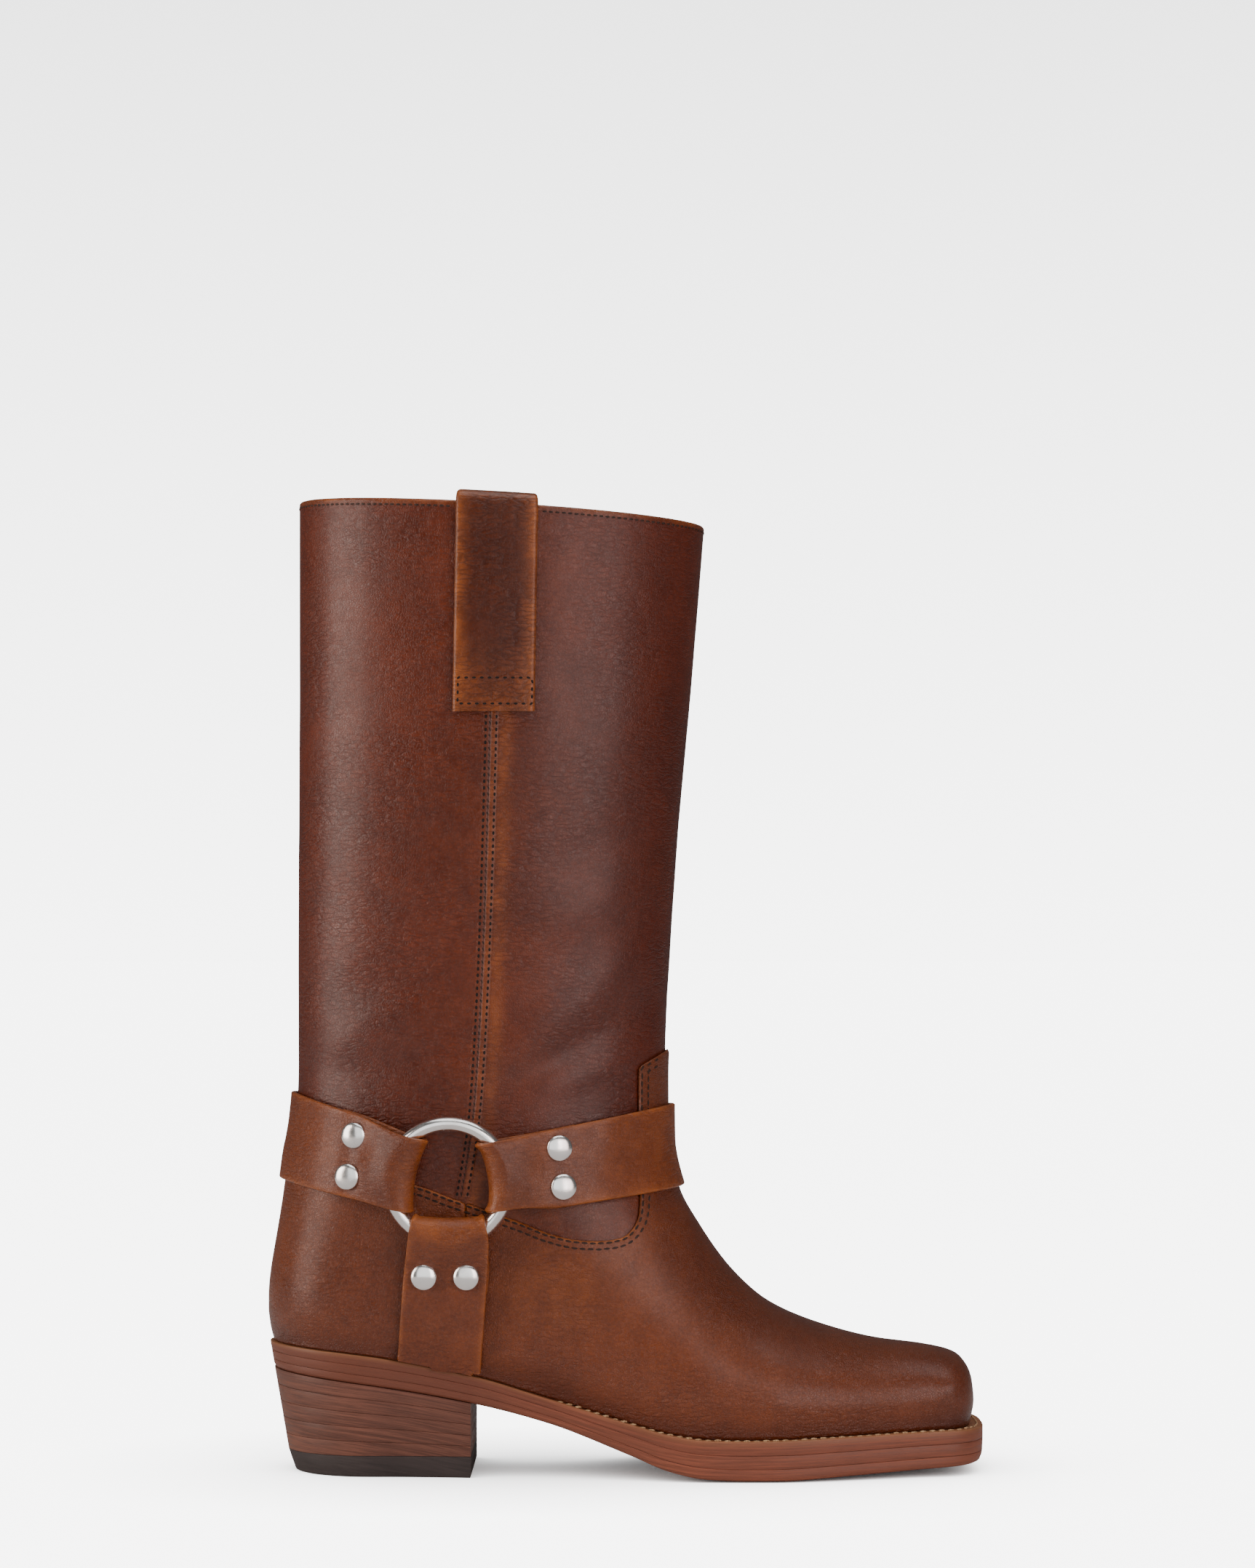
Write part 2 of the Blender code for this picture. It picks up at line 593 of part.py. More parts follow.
def ring_frame(side):
    """The ring's centre and its plane, laid against the boot's side."""
    at = on_side(side, RING_X, RING_Z, RING_LIFT)
    normal = on_side(side, RING_X, RING_Z, RING_LIFT + 1.0) - at
    forward = np.cross(np.cross(normal, (1.0, 0.0, 0.0)), normal)
    forward /= np.linalg.norm(forward)
    up = np.cross(forward, normal) * -side
    return Ring(at, forward, up if up[2] > 0 else -up, normal)


def fold(ring, out, cross, width, fold_at, bow):
    """Rows of a strap folded round the ring's wire, from its inner to its outer layer."""
    offset = (ACROSS - 0.5) * width
    wire = np.sqrt(RING_RADIUS**2 - offset**2)
    edge = fold_at + bow * (1 - (2 * ACROSS - 1) ** 2)
    inside = np.maximum(wire - edge - STRAP / 2, (WIRE_RADIUS + FOLD_CLEAR) * RING_RADIUS / wire + STRAP / 2)
    rows = []
    for angle in np.radians(FOLD_ANGLES):
        at = wire - (inside if np.cos(angle) > 0 else FOLD_HEIGHT) * np.cos(angle)
        height = ring.normal * FOLD_HEIGHT * np.sin(angle)
        rows.append(ring.middle + np.outer(at, out) + np.outer(offset, cross) + height)
    return rows


def seat(angle):
    """Height of a round strap's underside above the upper, across the strap."""
    from_front = np.degrees(np.arccos(np.cos(np.radians(angle))))
    on_tongue = 1 - smoothstep(TONGUE_ANGLE, TONGUE_ANGLE + 12, from_front)
    return np.asarray(SEAT) + (SEAT_OVERLAY - np.asarray(SEAT)) * on_tongue


def round_strap_point(strap, angle, across, lift):
    """A point over the upper on a strap round back or front."""
    from_middle = np.cos(np.radians(RING_ANGLE)) - np.cos(np.radians(strap.middle))
    share = (np.cos(np.radians(RING_ANGLE)) - np.cos(np.radians(angle))) / from_middle
    low = strap.low_ring + (strap.low_middle - strap.low_ring) * share
    top = strap.top_ring + (strap.top_middle - strap.top_ring) * share
    return around(angle, low + (top - low) * across, lift)


def ring_angle():
    front = np.interp(RING_Z, FRONT_LINE[::-1, 1], FRONT_LINE[::-1, 0])
    back = np.interp(RING_Z, BACK_LINE[::-1, 1], BACK_LINE[::-1, 0])
    return np.degrees(np.arccos((RING_X - (front + back) / 2) / ((front - back) / 2)))


RING_ANGLE = ring_angle()


def strap_angles(strap, distances):
    """Angles at distances along a round strap from the ring's centre, on the lateral side."""
    angles = np.linspace(RING_ANGLE, strap.middle, FINE)
    path = round_strap_point(strap, angles, 0.5, 0.0)
    lengths = np.concatenate([[0.0], np.cumsum(np.linalg.norm(np.diff(path, axis=0), axis=1))])
    return np.interp(distances, lengths, angles)


def half_strap(strap, side):
    """Rows of a round strap's half on one side, from the end of its inner layer to the boot's middle."""
    def row(angle, lift):
        turned = angle if side == LATERAL else 360.0 - angle
        return round_strap_point(strap, turned, ACROSS, seat(angle) + lift)

    def layer(rows):
        distances = [RING_RADIUS + strap.rivet_at + entry.from_rivet for entry in rows]
        return [row(angle, entry.lift) for angle, entry in zip(strap_angles(strap, distances), rows)]

    ring = ring_frame(side)
    forwards = np.sign(90.0 - strap.middle)
    rise = np.radians(strap.rise)
    out = ring.forward * forwards * np.cos(rise) + ring.up * np.sin(rise)
    cross = ring.up * np.cos(rise) - ring.forward * forwards * np.sin(rise)
    width = (strap.top_ring - strap.low_ring) * FOLD_NARROWED
    turned_over = fold(ring, out, cross, width, strap.fold_at, FOLD_BOW)
    doubled = layer(INNER_LAYER) + turned_over + layer(OUTER_LAYER)
    last = strap_angles(strap, RING_RADIUS + strap.rivet_at + OUTER_LAYER[-1].from_rivet)
    single = OUTER_LAYER[-1].lift
    return doubled + [row(angle, single) for angle in np.linspace(last, strap.middle, BODY_STEPS + 1)[1:]]


def make_round_strap(strap):
    lateral, medial = half_strap(strap, LATERAL), half_strap(strap, MEDIAL)
    ribbon(strap.name, np.stack(lateral + medial[-2::-1]), STRAP, strap_leather())
    for side, label in ((LATERAL, "lateral"), (MEDIAL, "medial")):
        lift = dict(OUTER_LAYER)[0.0] + STRAP / 2 + RIVET_CLEAR
        for height, across in RIVET_ACROSS.items():
            angle = strap_angles(strap, RING_RADIUS + strap.rivet_at + strap.rivet_lean * (0.5 - across))
            turned = angle if side == LATERAL else 360.0 - angle
            under = np.interp(across, ACROSS, seat(angle)) + lift
            make_rivet(f"rivet_{strap.name[6:]}_{label}_{height}",
                       round_strap_point(strap, turned, across, under),
                       round_strap_point(strap, turned, across, under + 1.0))


def side_strap_point(side, distance, across, lift):
    """A point over the upper on a side strap, at a distance below the ring's centre."""
    x = RING_X + SIDE_LEAN * (distance - RING_RADIUS) + (across - 0.5) * SIDE_WIDTH
    return on_side(side, x, np.maximum(RING_Z - distance, feather(x) + SIDE_FOOT), lift)


def make_side_strap(side, label):
    def row(distance, lift):
        return side_strap_point(side, distance, ACROSS, SIDE_SEAT + lift)

    def layer(rows):
        return [row(RING_RADIUS + SIDE_RIVET_AT + entry.from_rivet, entry.lift) for entry in rows]

    ring = ring_frame(side)
    turned_over = fold(ring, -ring.up, ring.forward, SIDE_FOLD_WIDTH, SIDE_FOLD_AT, SIDE_FOLD_BOW)
    last = OUTER_LAYER[-1]
    first_single, lowest = RING_RADIUS + SIDE_RIVET_AT + last.from_rivet, RING_Z - feather(RING_X - SIDE_WIDTH / 2)
    foot = [row(distance, last.lift) for distance in np.linspace(first_single, lowest, SIDE_STEPS)[1:]]
    foot.append(row(RING_Z, last.lift))
    rows = layer(INNER_LAYER) + turned_over + layer(OUTER_LAYER) + foot
    ribbon(f"strap_side_{label}", np.stack(rows), STRAP, strap_leather())
    lift = SIDE_SEAT + dict(OUTER_LAYER)[0.0] + STRAP / 2 + RIVET_CLEAR
    for place_name, across in zip(("back", "front"), RIVET_ACROSS.values()):
        base, tip = (side_strap_point(side, RING_RADIUS + SIDE_RIVET_AT, across, lift + up) for up in (0.0, 1.0))
        make_rivet(f"rivet_side_{label}_{place_name}", base, tip)


def rivet_mesh():
    """A domed cap on a short rim, turned round Z."""
    made = bpy.data.meshes.get("rivet")
    if made is not None:
        return made
    dome = [(RIVET_RADIUS * np.cos(a), RIVET_RIM + (RIVET_HEIGHT - RIVET_RIM) * np.sin(a))
            for a in np.radians((0, 48, 90))]
    profile = [(0.0, 0.0), (RIVET_RADIUS, 0.0), *dome[:-1], (0.0, RIVET_HEIGHT)]
    bm = bmesh.new()
    verts = [bm.verts.new((r * MM, 0.0, z * MM)) for r, z in profile]
    edges = [bm.edges.new(pair) for pair in zip(verts, verts[1:])]
    bmesh.ops.spin(bm, geom=verts + edges, axis=(0, 0, 1), cent=(0, 0, 0), angle=2 * np.pi, steps=8,
                   use_merge=True)
    bmesh.ops.remove_doubles(bm, verts=bm.verts, dist=0.001 * MM)
    made = finished_mesh("rivet", bm)
    made.materials.append(nickel())
    made.shade_smooth()
    made.set_sharp_from_angle(angle=np.radians(50))
    return made


def stand(obj, base, axis):
    """Turns an object made along Z so that it stands on a point along an axis."""
    z = np.asarray(axis) / np.linalg.norm(axis)
    x = np.cross((0.0, 0.0, 1.0), z)
    x /= np.linalg.norm(x)
    y = np.cross(z, x)
    turn = Matrix(np.stack([x, y, z], axis=1).tolist()).to_4x4()
    obj.matrix_world = Matrix.Translation(np.asarray(base) * MM) @ turn


def make_rivet(name, base, tip):
    made = bpy.data.objects.new(name, rivet_mesh())
    bpy.context.scene.collection.objects.link(made)
    stand(made, base, tip - base)


def make_ring(side, label):
    wire_sides, steps = 8, 22
    bm = bmesh.new()
    circle = bmesh.ops.create_circle(bm, segments=wire_sides, radius=WIRE_RADIUS * MM)["verts"]
    upright = Matrix.Translation((RING_RADIUS * MM, 0.0, 0.0)) @ Matrix.Rotation(np.pi / 2, 4, "X")
    bmesh.ops.transform(bm, matrix=upright, verts=circle)
    bmesh.ops.spin(bm, geom=bm.verts[:] + bm.edges[:], axis=(0, 0, 1), cent=(0, 0, 0), angle=2 * np.pi, steps=steps,
                   use_merge=True)
    made = place(f"ring_{label}", finished_mesh(f"ring_{label}", bm), nickel())
    frame = ring_frame(side)
    stand(made, frame.middle, frame.normal)


def make_pull_strap(side, label):
    """A strap folded over the collar: up the shaft's outside, over the rim and down inside."""
    x = np.linspace(PULL_FROM, PULL_TO, 3)
    rim = np.interp(x, (SECTIONS[0].back_x, SECTIONS[0].front_x), (COLLAR_BACK, COLLAR_FRONT))
    clear = 0.4  # between the strap and the wall on both of its faces
    outside, inside = clear + PULL / 2, -WALL - clear - PULL / 2
    radius = (outside - inside) / 2
    turn_z = rim - clear

    def leg(foot, lift):
        heights = [foot + (turn_z - foot) * share for share in np.linspace(0.0, 1.0, 6)]
        return [on_side(side, x - PULL_LEAN * (turn_z - z), z, lift) for z in heights]

    up = leg(PULL_FOOT, outside)
    down = leg(PULL_INSIDE_FOOT, inside)[::-1]
    middle, across = (up[-1] + down[0]) / 2, (up[-1] - down[0]) / 2
    over = [middle + across * np.cos(a) + np.array([0.0, 0.0, radius]) * np.sin(a)
            for a in np.radians((36, 72, 108, 144))]
    ribbon(f"pull_strap_{label}", np.stack(up + over + down), PULL, strap_leather())


def make_harness():
    for strap in ROUND_STRAPS:
        make_round_strap(strap)
    for side, label in ((LATERAL, "lateral"), (MEDIAL, "medial")):
        make_side_strap(side, label)
        make_ring(side, label)
        make_pull_strap(side, label)


clear_scene()
make_sole()
make_heel()
make_upper()
make_harness()
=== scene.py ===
# %% [markdown]
# # Harness boot with a square toe
#
# This lesson dresses a packed boot in Blender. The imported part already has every
# solid in its place. Here each leather piece is made again with a finer mesh, gets
# its creases, stitches and burnished finish, and is lit as in a studio.
# All sizes are in millimetres and become metres where a mesh is made.

# %% Load the frame
from collections import namedtuple

import bmesh
import bpy
import numpy as np
from mathutils import Matrix, Vector


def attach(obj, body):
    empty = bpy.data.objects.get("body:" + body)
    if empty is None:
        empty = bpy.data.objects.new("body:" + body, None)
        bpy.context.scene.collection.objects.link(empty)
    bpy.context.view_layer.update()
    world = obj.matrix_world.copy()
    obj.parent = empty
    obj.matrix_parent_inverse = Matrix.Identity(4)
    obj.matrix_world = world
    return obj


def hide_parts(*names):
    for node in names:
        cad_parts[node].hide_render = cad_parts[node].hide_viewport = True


MM = 0.001
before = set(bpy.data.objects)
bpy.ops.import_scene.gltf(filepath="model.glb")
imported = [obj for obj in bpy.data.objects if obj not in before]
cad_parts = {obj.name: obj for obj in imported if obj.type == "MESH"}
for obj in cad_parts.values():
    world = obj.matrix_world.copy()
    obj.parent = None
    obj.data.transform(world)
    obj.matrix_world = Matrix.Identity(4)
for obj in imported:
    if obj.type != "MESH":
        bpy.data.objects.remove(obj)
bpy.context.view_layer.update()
print("frame:", len(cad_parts), "nodes")

# %% [markdown]
# ## Camera
#
# The boot is seen square-on from its outer side. A long lens a good step away keeps
# both ends of the sole at nearly the same scale, and a lens shift, as on a studio
# camera, lifts the picture without tilting the camera.

# %% Camera
camera_data = bpy.data.cameras.new("camera")
camera_data.lens = 87.16
camera_data.shift_y = 0.1016
camera = bpy.data.objects.new("camera", camera_data)
camera.location = (0.093, -1.45, 0.200)
camera.rotation_euler = (np.pi / 2, 0.0, 0.0)
bpy.context.scene.collection.objects.link(camera)
bpy.context.scene.camera = camera
print("camera: lens", camera_data.lens, "mm")

# %% [markdown]
# ## The last
#
# A boot is built round a last, a solid foot form. Its shape is written here as a few
# short tables, the same as in the part's own source, and two formulas: how far the
# surface lies from the middle plane at any place in side view, and a loop of points
# round the boot at any height. A formula can be sampled as finely as a piece needs,
# which a copied mesh can't.

# %% Tables of the last
GAP = 0.3
LATERAL, MEDIAL = -1, 1
SIDES = ((LATERAL, "lateral"), (MEDIAL, "medial"))
COLLAR_BACK, COLLAR_FRONT = 368.0, 359.0
HEEL_SEAT, TOE_FEATHER = 49.3, 17.4
HEEL_BACK, TOE_TIP = -40.2, 221.6
BREAST_X = 34.4
WALL, OVERLAY, STRAP = 2.2, 1.2, 2.0

Section = namedtuple("Section", "name back_x back_z front_x front_z dip back_depth front_depth square")
SECTIONS = (
    Section("collar", -32.1, COLLAR_BACK, 122.3, COLLAR_FRONT, 0.00, 77, 77, 2.0),
    Section("calf", -32.1, 310.0, 117.9, 304.0, 0.00, 75, 75, 2.0),
    Section("mid shaft", -32.3, 245.0, 112.2, 240.0, 0.00, 72, 72, 2.0),
    Section("low shaft", -32.6, 190.0, 108.6, 186.0, 0.00, 70, 70, 2.0),
    Section("ankle", -32.5, 155.0, 107.2, 150.0, 0.00, 68, 70, 2.0),
    Section("throat", -33.2, 134.0, 107.4, 126.0, 0.05, 60, 68, 2.0),
    Section("top of foot", -35.2, 117.0, 111.3, 107.0, 0.10, 52, 62, 2.0),
    Section("instep", -37.4, 101.0, 119.6, 91.5, 0.20, 44, 54, 2.0),
    Section("low instep", -39.2, 90.0, 132.0, 74.5, 0.35, 39, 46, 2.0),
    Section("waist", -40.6, 82.0, 146.5, 61.9, 0.50, 36, 38, 2.05),
    Section("ball", -41.6, 75.5, 166.5, 53.2, 0.65, 34, 31, 2.15),
    Section("fore ball", -42.2, 70.0, 187.7, 47.6, 0.75, 33, 25, 2.3),
    Section("toe top", -42.4, 65.5, 207.2, 44.9, 0.82, 33, 20, 2.5),
    Section("toe brow", -42.4, 61.0, 218.4, 41.6, 0.88, 33, 16, 2.8),
    Section("toe face", -42.0, 57.0, 222.5, 34.8, 0.93, 33, 13, 3.0),
    Section("toe foot", -41.3, 53.0, 223.3, 26.4, 0.97, 33, 12, 3.2),
    Section("feather", HEEL_BACK, HEEL_SEAT, TOE_TIP, TOE_FEATHER + GAP, 1.00, 33, 12, 3.2),
)
Station = namedtuple("Station", "x edge_lateral edge_medial wall_lateral wall_medial")
STATIONS = (
    Station(-42, 29.0, 29.0, 31.3, 31.3),
    Station(-8, 29.3, 29.0, 31.6, 31.5),
    Station(35, 29.3, 26.0, 34.0, 33.0),
    Station(62, 29.8, 22.5, 36.0, 34.0),
    Station(95, 34.5, 28.5, 38.5, 36.5),
    Station(125, 38.8, 38.0, 41.3, 41.3),
    Station(145, 38.7, 41.3, 41.0, 43.8),
    Station(165, 35.5, 39.5, 37.6, 41.6),
    Station(185, 29.5, 35.2, 31.3, 37.0),
    Station(205, 23.5, 30.8, 24.8, 32.0),
    Station(222, 20.5, 28.0, 21.5, 29.0),
)
SWELL_HEIGHT = 14.0
Girth = namedtuple("Girth", "z half_width")
GIRTHS = (Girth(150, 36.5), Girth(190, 38.0), Girth(245, 41.0), Girth(310, 43.0), Girth(368, 44.5))
ANKLE_FROM, ANKLE_TO = 75.0, 150.0
Bend = namedtuple("Bend", "x y")
BENDS = (Bend(-45, 0.0), Bend(60, 0.0), Bend(130, 1.2), Bend(185, 2.9), Bend(225, 3.8))
SoleRow = namedtuple("SoleRow", "x top bottom reveal curl")
SOLE = (
    SoleRow(-46, 49.4, 39.4, 1.6, 0.0),
    SoleRow(-10, 46.2, 35.2, 1.6, 0.0),
    SoleRow(BREAST_X, 38.4, 28.0, 1.6, 0.0),
    SoleRow(62.5, 30.2, 20.8, 2.0, 0.3),
    SoleRow(95, 20.8, 8.6, 3.0, 0.8),
    SoleRow(108, 17.4, 3.4, 3.5, 1.0),
    SoleRow(122, 15.5, 0.6, 3.8, 1.0),
    SoleRow(136, 15.2, 0.0, 3.9, 1.0),
    SoleRow(150, 15.4, 0.0, 4.0, 1.0),
    SoleRow(173, 16.1, 1.1, 4.2, 1.0),
    SoleRow(200, 16.8, 2.4, 4.4, 1.0),
    SoleRow(228, TOE_FEATHER + 0.2, 3.9, 5.4, 1.0),
)
print("last:", len(SECTIONS), "sections")


# %% Curves through the tables
def through(x, xs, ys):
    """Smooth curve through a table's points, with no overshoot between them."""
    xs, ys = np.asarray(xs, float), np.asarray(ys, float)
    step = np.diff(xs)
    slope = np.diff(ys) / step
    pair = slope[:-1] * slope[1:]
    level = pair <= 0
    inner = np.where(level, 0.0, 2 * pair / np.where(level, 1.0, slope[:-1] + slope[1:]))
    tangent = np.concatenate([slope[:1], inner, slope[-1:]])
    x = np.clip(x, xs[0], xs[-1])
    i = np.clip(np.searchsorted(xs, x) - 1, 0, len(step) - 1)
    u = (x - xs[i]) / step[i]
    rise = (3 - 2 * u) * u**2
    bow = step[i] * (tangent[i] * u * (1 - u) ** 2 - tangent[i + 1] * u**2 * (1 - u))
    return ys[i] * (1 - rise) + ys[i + 1] * rise + bow


def column(table, name):
    return [getattr(row, name) for row in table]


def unit(vectors):
    return vectors / np.linalg.norm(vectors, axis=-1, keepdims=True)


def lengths_along(points):
    """Length of a line from its start to each of its points."""
    return np.concatenate([[0.0], np.cumsum(np.linalg.norm(np.diff(points, axis=0), axis=1))])


def smoothstep(low, high, x):
    u = np.clip((x - low) / (high - low), 0.0, 1.0)
    return u * u * (3 - 2 * u)


FINE = 241
FRONT_STEPS = np.hypot(np.diff(column(SECTIONS, "front_x")), np.diff(column(SECTIONS, "front_z")))
SECTION_T = np.concatenate([[0.0], np.cumsum(FRONT_STEPS)]) / FRONT_STEPS.sum()


def section(name, t):
    return through(t, SECTION_T, column(SECTIONS, name))


def t_of(index):
    return np.interp(index, np.arange(len(SECTIONS)), SECTION_T)


LINE_T = np.linspace(0.0, 1.0, FINE)
FRONT_LINE = np.stack([section("front_x", LINE_T), section("front_z", LINE_T)], axis=-1)
BACK_LINE = np.stack([section("back_x", LINE_T), section("back_z", LINE_T)], axis=-1)


def line_x(line, z):
    """How far forward a line of the side view lies at a height."""
    return np.interp(z, line[::-1, 1], line[::-1, 0])


def nearest(line, x, z):
    """Distance from each point to a line in side view, and the t of the nearest place on it."""
    points = np.stack(np.broadcast_arrays(x, z), axis=-1)[..., None, :]
    start, step = line[:-1], np.diff(line, axis=0)
    along = np.clip(((points - start) * step).sum(-1) / (step * step).sum(-1), 0.0, 1.0)
    gaps = np.linalg.norm(points - start - along[..., None] * step, axis=-1)
    best = gaps.argmin(-1)[..., None]
    place = best + np.take_along_axis(along, best, -1)
    return np.take_along_axis(gaps, best, -1)[..., 0], place[..., 0] / (len(line) - 1)


# %% The last's surface
def rounding(distance, depth, square):
    rest = 1 - np.clip(distance / depth, 0.0, 1.0)
    return (1 - rest**square) ** (1 / square)


def sole(name, x):
    return through(x, column(SOLE, "x"), column(SOLE, name))


def feather(x):
    """Height of the upper's lower edge."""
    return sole("top", x) + GAP


def centre(x):
    return through(x, column(BENDS, "x"), column(BENDS, "y"))


def half_width(x, z, side):
    """Width of the upper from its centre line to one side, at a place in side view."""
    label = "lateral" if side == LATERAL else "medial"
    xs = column(STATIONS, "x")
    edge = through(x, xs, column(STATIONS, "edge_" + label))
    wall = through(x, xs, column(STATIONS, "wall_" + label))
    foot = edge + (wall - edge) * smoothstep(0.0, SWELL_HEIGHT, z - feather(x)) - side * centre(x)
    shaft = through(z, column(GIRTHS, "z"), column(GIRTHS, "half_width"))
    full = foot + (shaft - foot) * smoothstep(ANKLE_FROM, ANKLE_TO, z)
    front, front_t = nearest(FRONT_LINE, x, z)
    back, back_t = nearest(BACK_LINE, x, z)
    front_round = rounding(front, section("front_depth", front_t), section("square", front_t))
    return full * front_round * rounding(back, section("back_depth", back_t), 2.0)


def spaced(points, count, turn_weight=0.0):
    """A line of points spaced out again, evenly or closer where it bends."""
    steps = np.diff(points, axis=0)
    lengths = np.linalg.norm(steps, axis=1)
    ways = steps / lengths[:, None]
    turns = np.arccos(np.clip((ways[:-1] * ways[1:]).sum(1), -1.0, 1.0))
    turns = np.concatenate([turns[:1] / 2, (turns[:-1] + turns[1:]) / 2, turns[-1:] / 2])
    share = (1 - turn_weight) * lengths / lengths.sum() + turn_weight * turns / turns.sum()
    place = np.concatenate([[0.0], np.cumsum(share)])
    wanted = np.linspace(0.0, place[-1], count + 1)
    return np.stack([np.interp(wanted, place, points[:, k]) for k in range(points.shape[1])], axis=-1)


def half_loop(t, side, count):
    """One side of the upper's loop at t, from the middle of the front to the middle of the back."""
    share = 0.5 - 0.5 * np.cos(np.pi * np.linspace(0.0, 1.0, FINE))
    edge_x = TOE_TIP + (HEEL_BACK - TOE_TIP) * share
    edge_chord = feather(TOE_TIP) + (feather(HEEL_BACK) - feather(TOE_TIP)) * share
    x = section("front_x", t) + (section("back_x", t) - section("front_x", t)) * share
    z = section("front_z", t) + (section("back_z", t) - section("front_z", t)) * share
    z = z + section("dip", t) * (feather(edge_x) - edge_chord)
    width = half_width(x, z, side)
    width[[0, -1]] = 0.0
    return spaced(np.stack([x, centre(x) + side * width, z], axis=-1), count)


def loops(places, count):
    """Loops round the upper, each from the front along the lateral side, the back and the medial side."""
    rows = []
    for t in places:
        lateral, medial = half_loop(t, LATERAL, count), half_loop(t, MEDIAL, count)
        rows.append(np.concatenate([lateral, medial[-2:0:-1]]))
    return np.stack(rows)


def outward(rows):
    """Unit normals of loops stacked from the collar down. Those of the two end loops are level."""
    along = np.roll(rows, -1, axis=1) - np.roll(rows, 1, axis=1)
    normal = np.cross(along, np.gradient(rows, axis=0))
    normal[[0, -1], :, 2] = 0.0
    return unit(normal)


def on_side(side, x, z, lift):
    """A point over the upper's side wall, placed in side view and lifted off the wall."""
    x, z, lift = np.broadcast_arrays(np.asarray(x, float), z, lift)
    nudge = 0.5

    def y(at_x, at_z):
        return centre(at_x) + side * half_width(at_x, at_z, side)

    by_x = (y(x + nudge, z) - y(x - nudge, z)) / (2 * nudge)
    by_z = (y(x, z + nudge) - y(x, z - nudge)) / (2 * nudge)
    normal = unit(side * np.stack([-by_x, np.ones_like(by_x), -by_z], axis=-1))
    return np.stack([x, y(x, z), z], axis=-1) + normal * lift[..., None]


print("last: ball half width", round(float(half_width(140.0, 35.0, LATERAL)), 1), "mm")

# %% [markdown]
# ## Bending a grid
#
# Leather is flat before it is lasted, so most pieces start as Blender's own flat grid
# and have its vertices moved onto rows of points. Vertices that fall on one another,
# as at a seam, are merged. Marks that a finish needs, such as how worn a place is,
# are kept on the vertices as named attributes.


# %% Grid helpers
MERGE_WITHIN = 0.002
SHARP_ANGLE = 50.0


def add_grid(bm, points, **marks):
    """Adds a grid to a bmesh and bends it onto rows of points. Each mark is a number for every point."""
    layers = [(bm.verts.layers.float.new(name), values.reshape(-1)) for name, values in marks.items()]
    rows, columns = points.shape[:2]
    start = len(bm.verts)
    bmesh.ops.create_grid(bm, x_segments=columns - 1, y_segments=rows - 1, size=1.0)
    bm.verts.ensure_lookup_table()
    made = bm.verts[start:]
    for vert, point in zip(made, points.reshape(-1, 3) * MM):
        vert.co = point
    for layer, values in layers:
        for vert, value in zip(made, values):
            vert[layer] = value


def wrapped(points):
    """Rows whose last column meets the first."""
    return np.concatenate([points, points[:, :1]], axis=1)


def capped(rows, pairs):
    """Rows whose two ends are closed by points halfway between paired columns."""
    ends = (rows + rows[:, pairs]) / 2
    return np.concatenate([ends[:1], rows, ends[-1:]])


def close_up(bm):
    """Merges vertices on one another and turns every face outwards."""
    bmesh.ops.remove_doubles(bm, verts=bm.verts, dist=MERGE_WITHIN * MM)
    bmesh.ops.recalc_face_normals(bm, faces=bm.faces)
    if bm.calc_volume(signed=True) < 0:
        bmesh.ops.reverse_faces(bm, faces=bm.faces)


def piece(name, bm, finish, slot, *replaced):
    """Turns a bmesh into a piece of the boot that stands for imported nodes."""
    mesh = bpy.data.meshes.new(name)
    bm.to_mesh(mesh)
    bm.free()
    mesh.shade_smooth()
    mesh.set_sharp_from_angle(angle=np.radians(SHARP_ANGLE))
    mesh.materials.append(finish)
    made = bpy.data.objects.new(name, mesh)
    bpy.context.scene.collection.objects.link(made)
    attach(made, "root")
    if replaced:
        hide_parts(*replaced)
    print(name, len(mesh.polygons), "faces")
    return made


def places_of(obj):
    """Vertex positions of a piece in millimetres."""
    flat = np.empty(len(obj.data.vertices) * 3)
    obj.data.vertices.foreach_get("co", flat)
    return flat.reshape(-1, 3) / MM


def mark(obj, name, values):
    """Keeps a number for each vertex as a named attribute."""
    made = obj.data.attributes.new(name, "FLOAT", "POINT")
    made.data.foreach_set("value", np.asarray(values, np.float32))


# %% [markdown]
# ## Shader helpers
#
# A material is a tree of nodes. The helpers below make a node, set its options and
# either fill or link its inputs, which keeps each finish short enough to read.


# %% Node helpers
def fill(tree, target, inputs):
    """Links or sets a node's inputs, by name or number."""
    for key, value in inputs.items():
        if isinstance(value, bpy.types.NodeSocket):
            tree.links.new(value, target.inputs[key])
        else:
            target.inputs[key].default_value = value


def node(tree, kind, inputs=None, **options):
    made = tree.nodes.new(kind)
    for name, value in options.items():
        setattr(made, name, value)
    fill(tree, made, inputs or {})
    return made


def object_place(tree):
    return node(tree, "ShaderNodeTexCoord").outputs["Object"]


def maths(tree, operation, a, b=0.0, c=0.0):
    return node(tree, "ShaderNodeMath", {0: a, 1: b, 2: c}, operation=operation).outputs[0]


def blend(tree, share, a, b):
    """Mixes two colours. A Mix node keeps its colours in inputs 6 and 7 and gives output 2."""
    return node(tree, "ShaderNodeMix", {0: share, 6: a, 7: b}, data_type="RGBA").outputs[2]


def ramp(tree, value, low, high, to_low=0.0, to_high=1.0):
    """Turns a range of values into another, smoothly and without leaving it."""
    inputs = {0: value, 1: low, 2: high, 3: to_low, 4: to_high}
    return node(tree, "ShaderNodeMapRange", inputs, interpolation_type="SMOOTHSTEP").outputs[0]


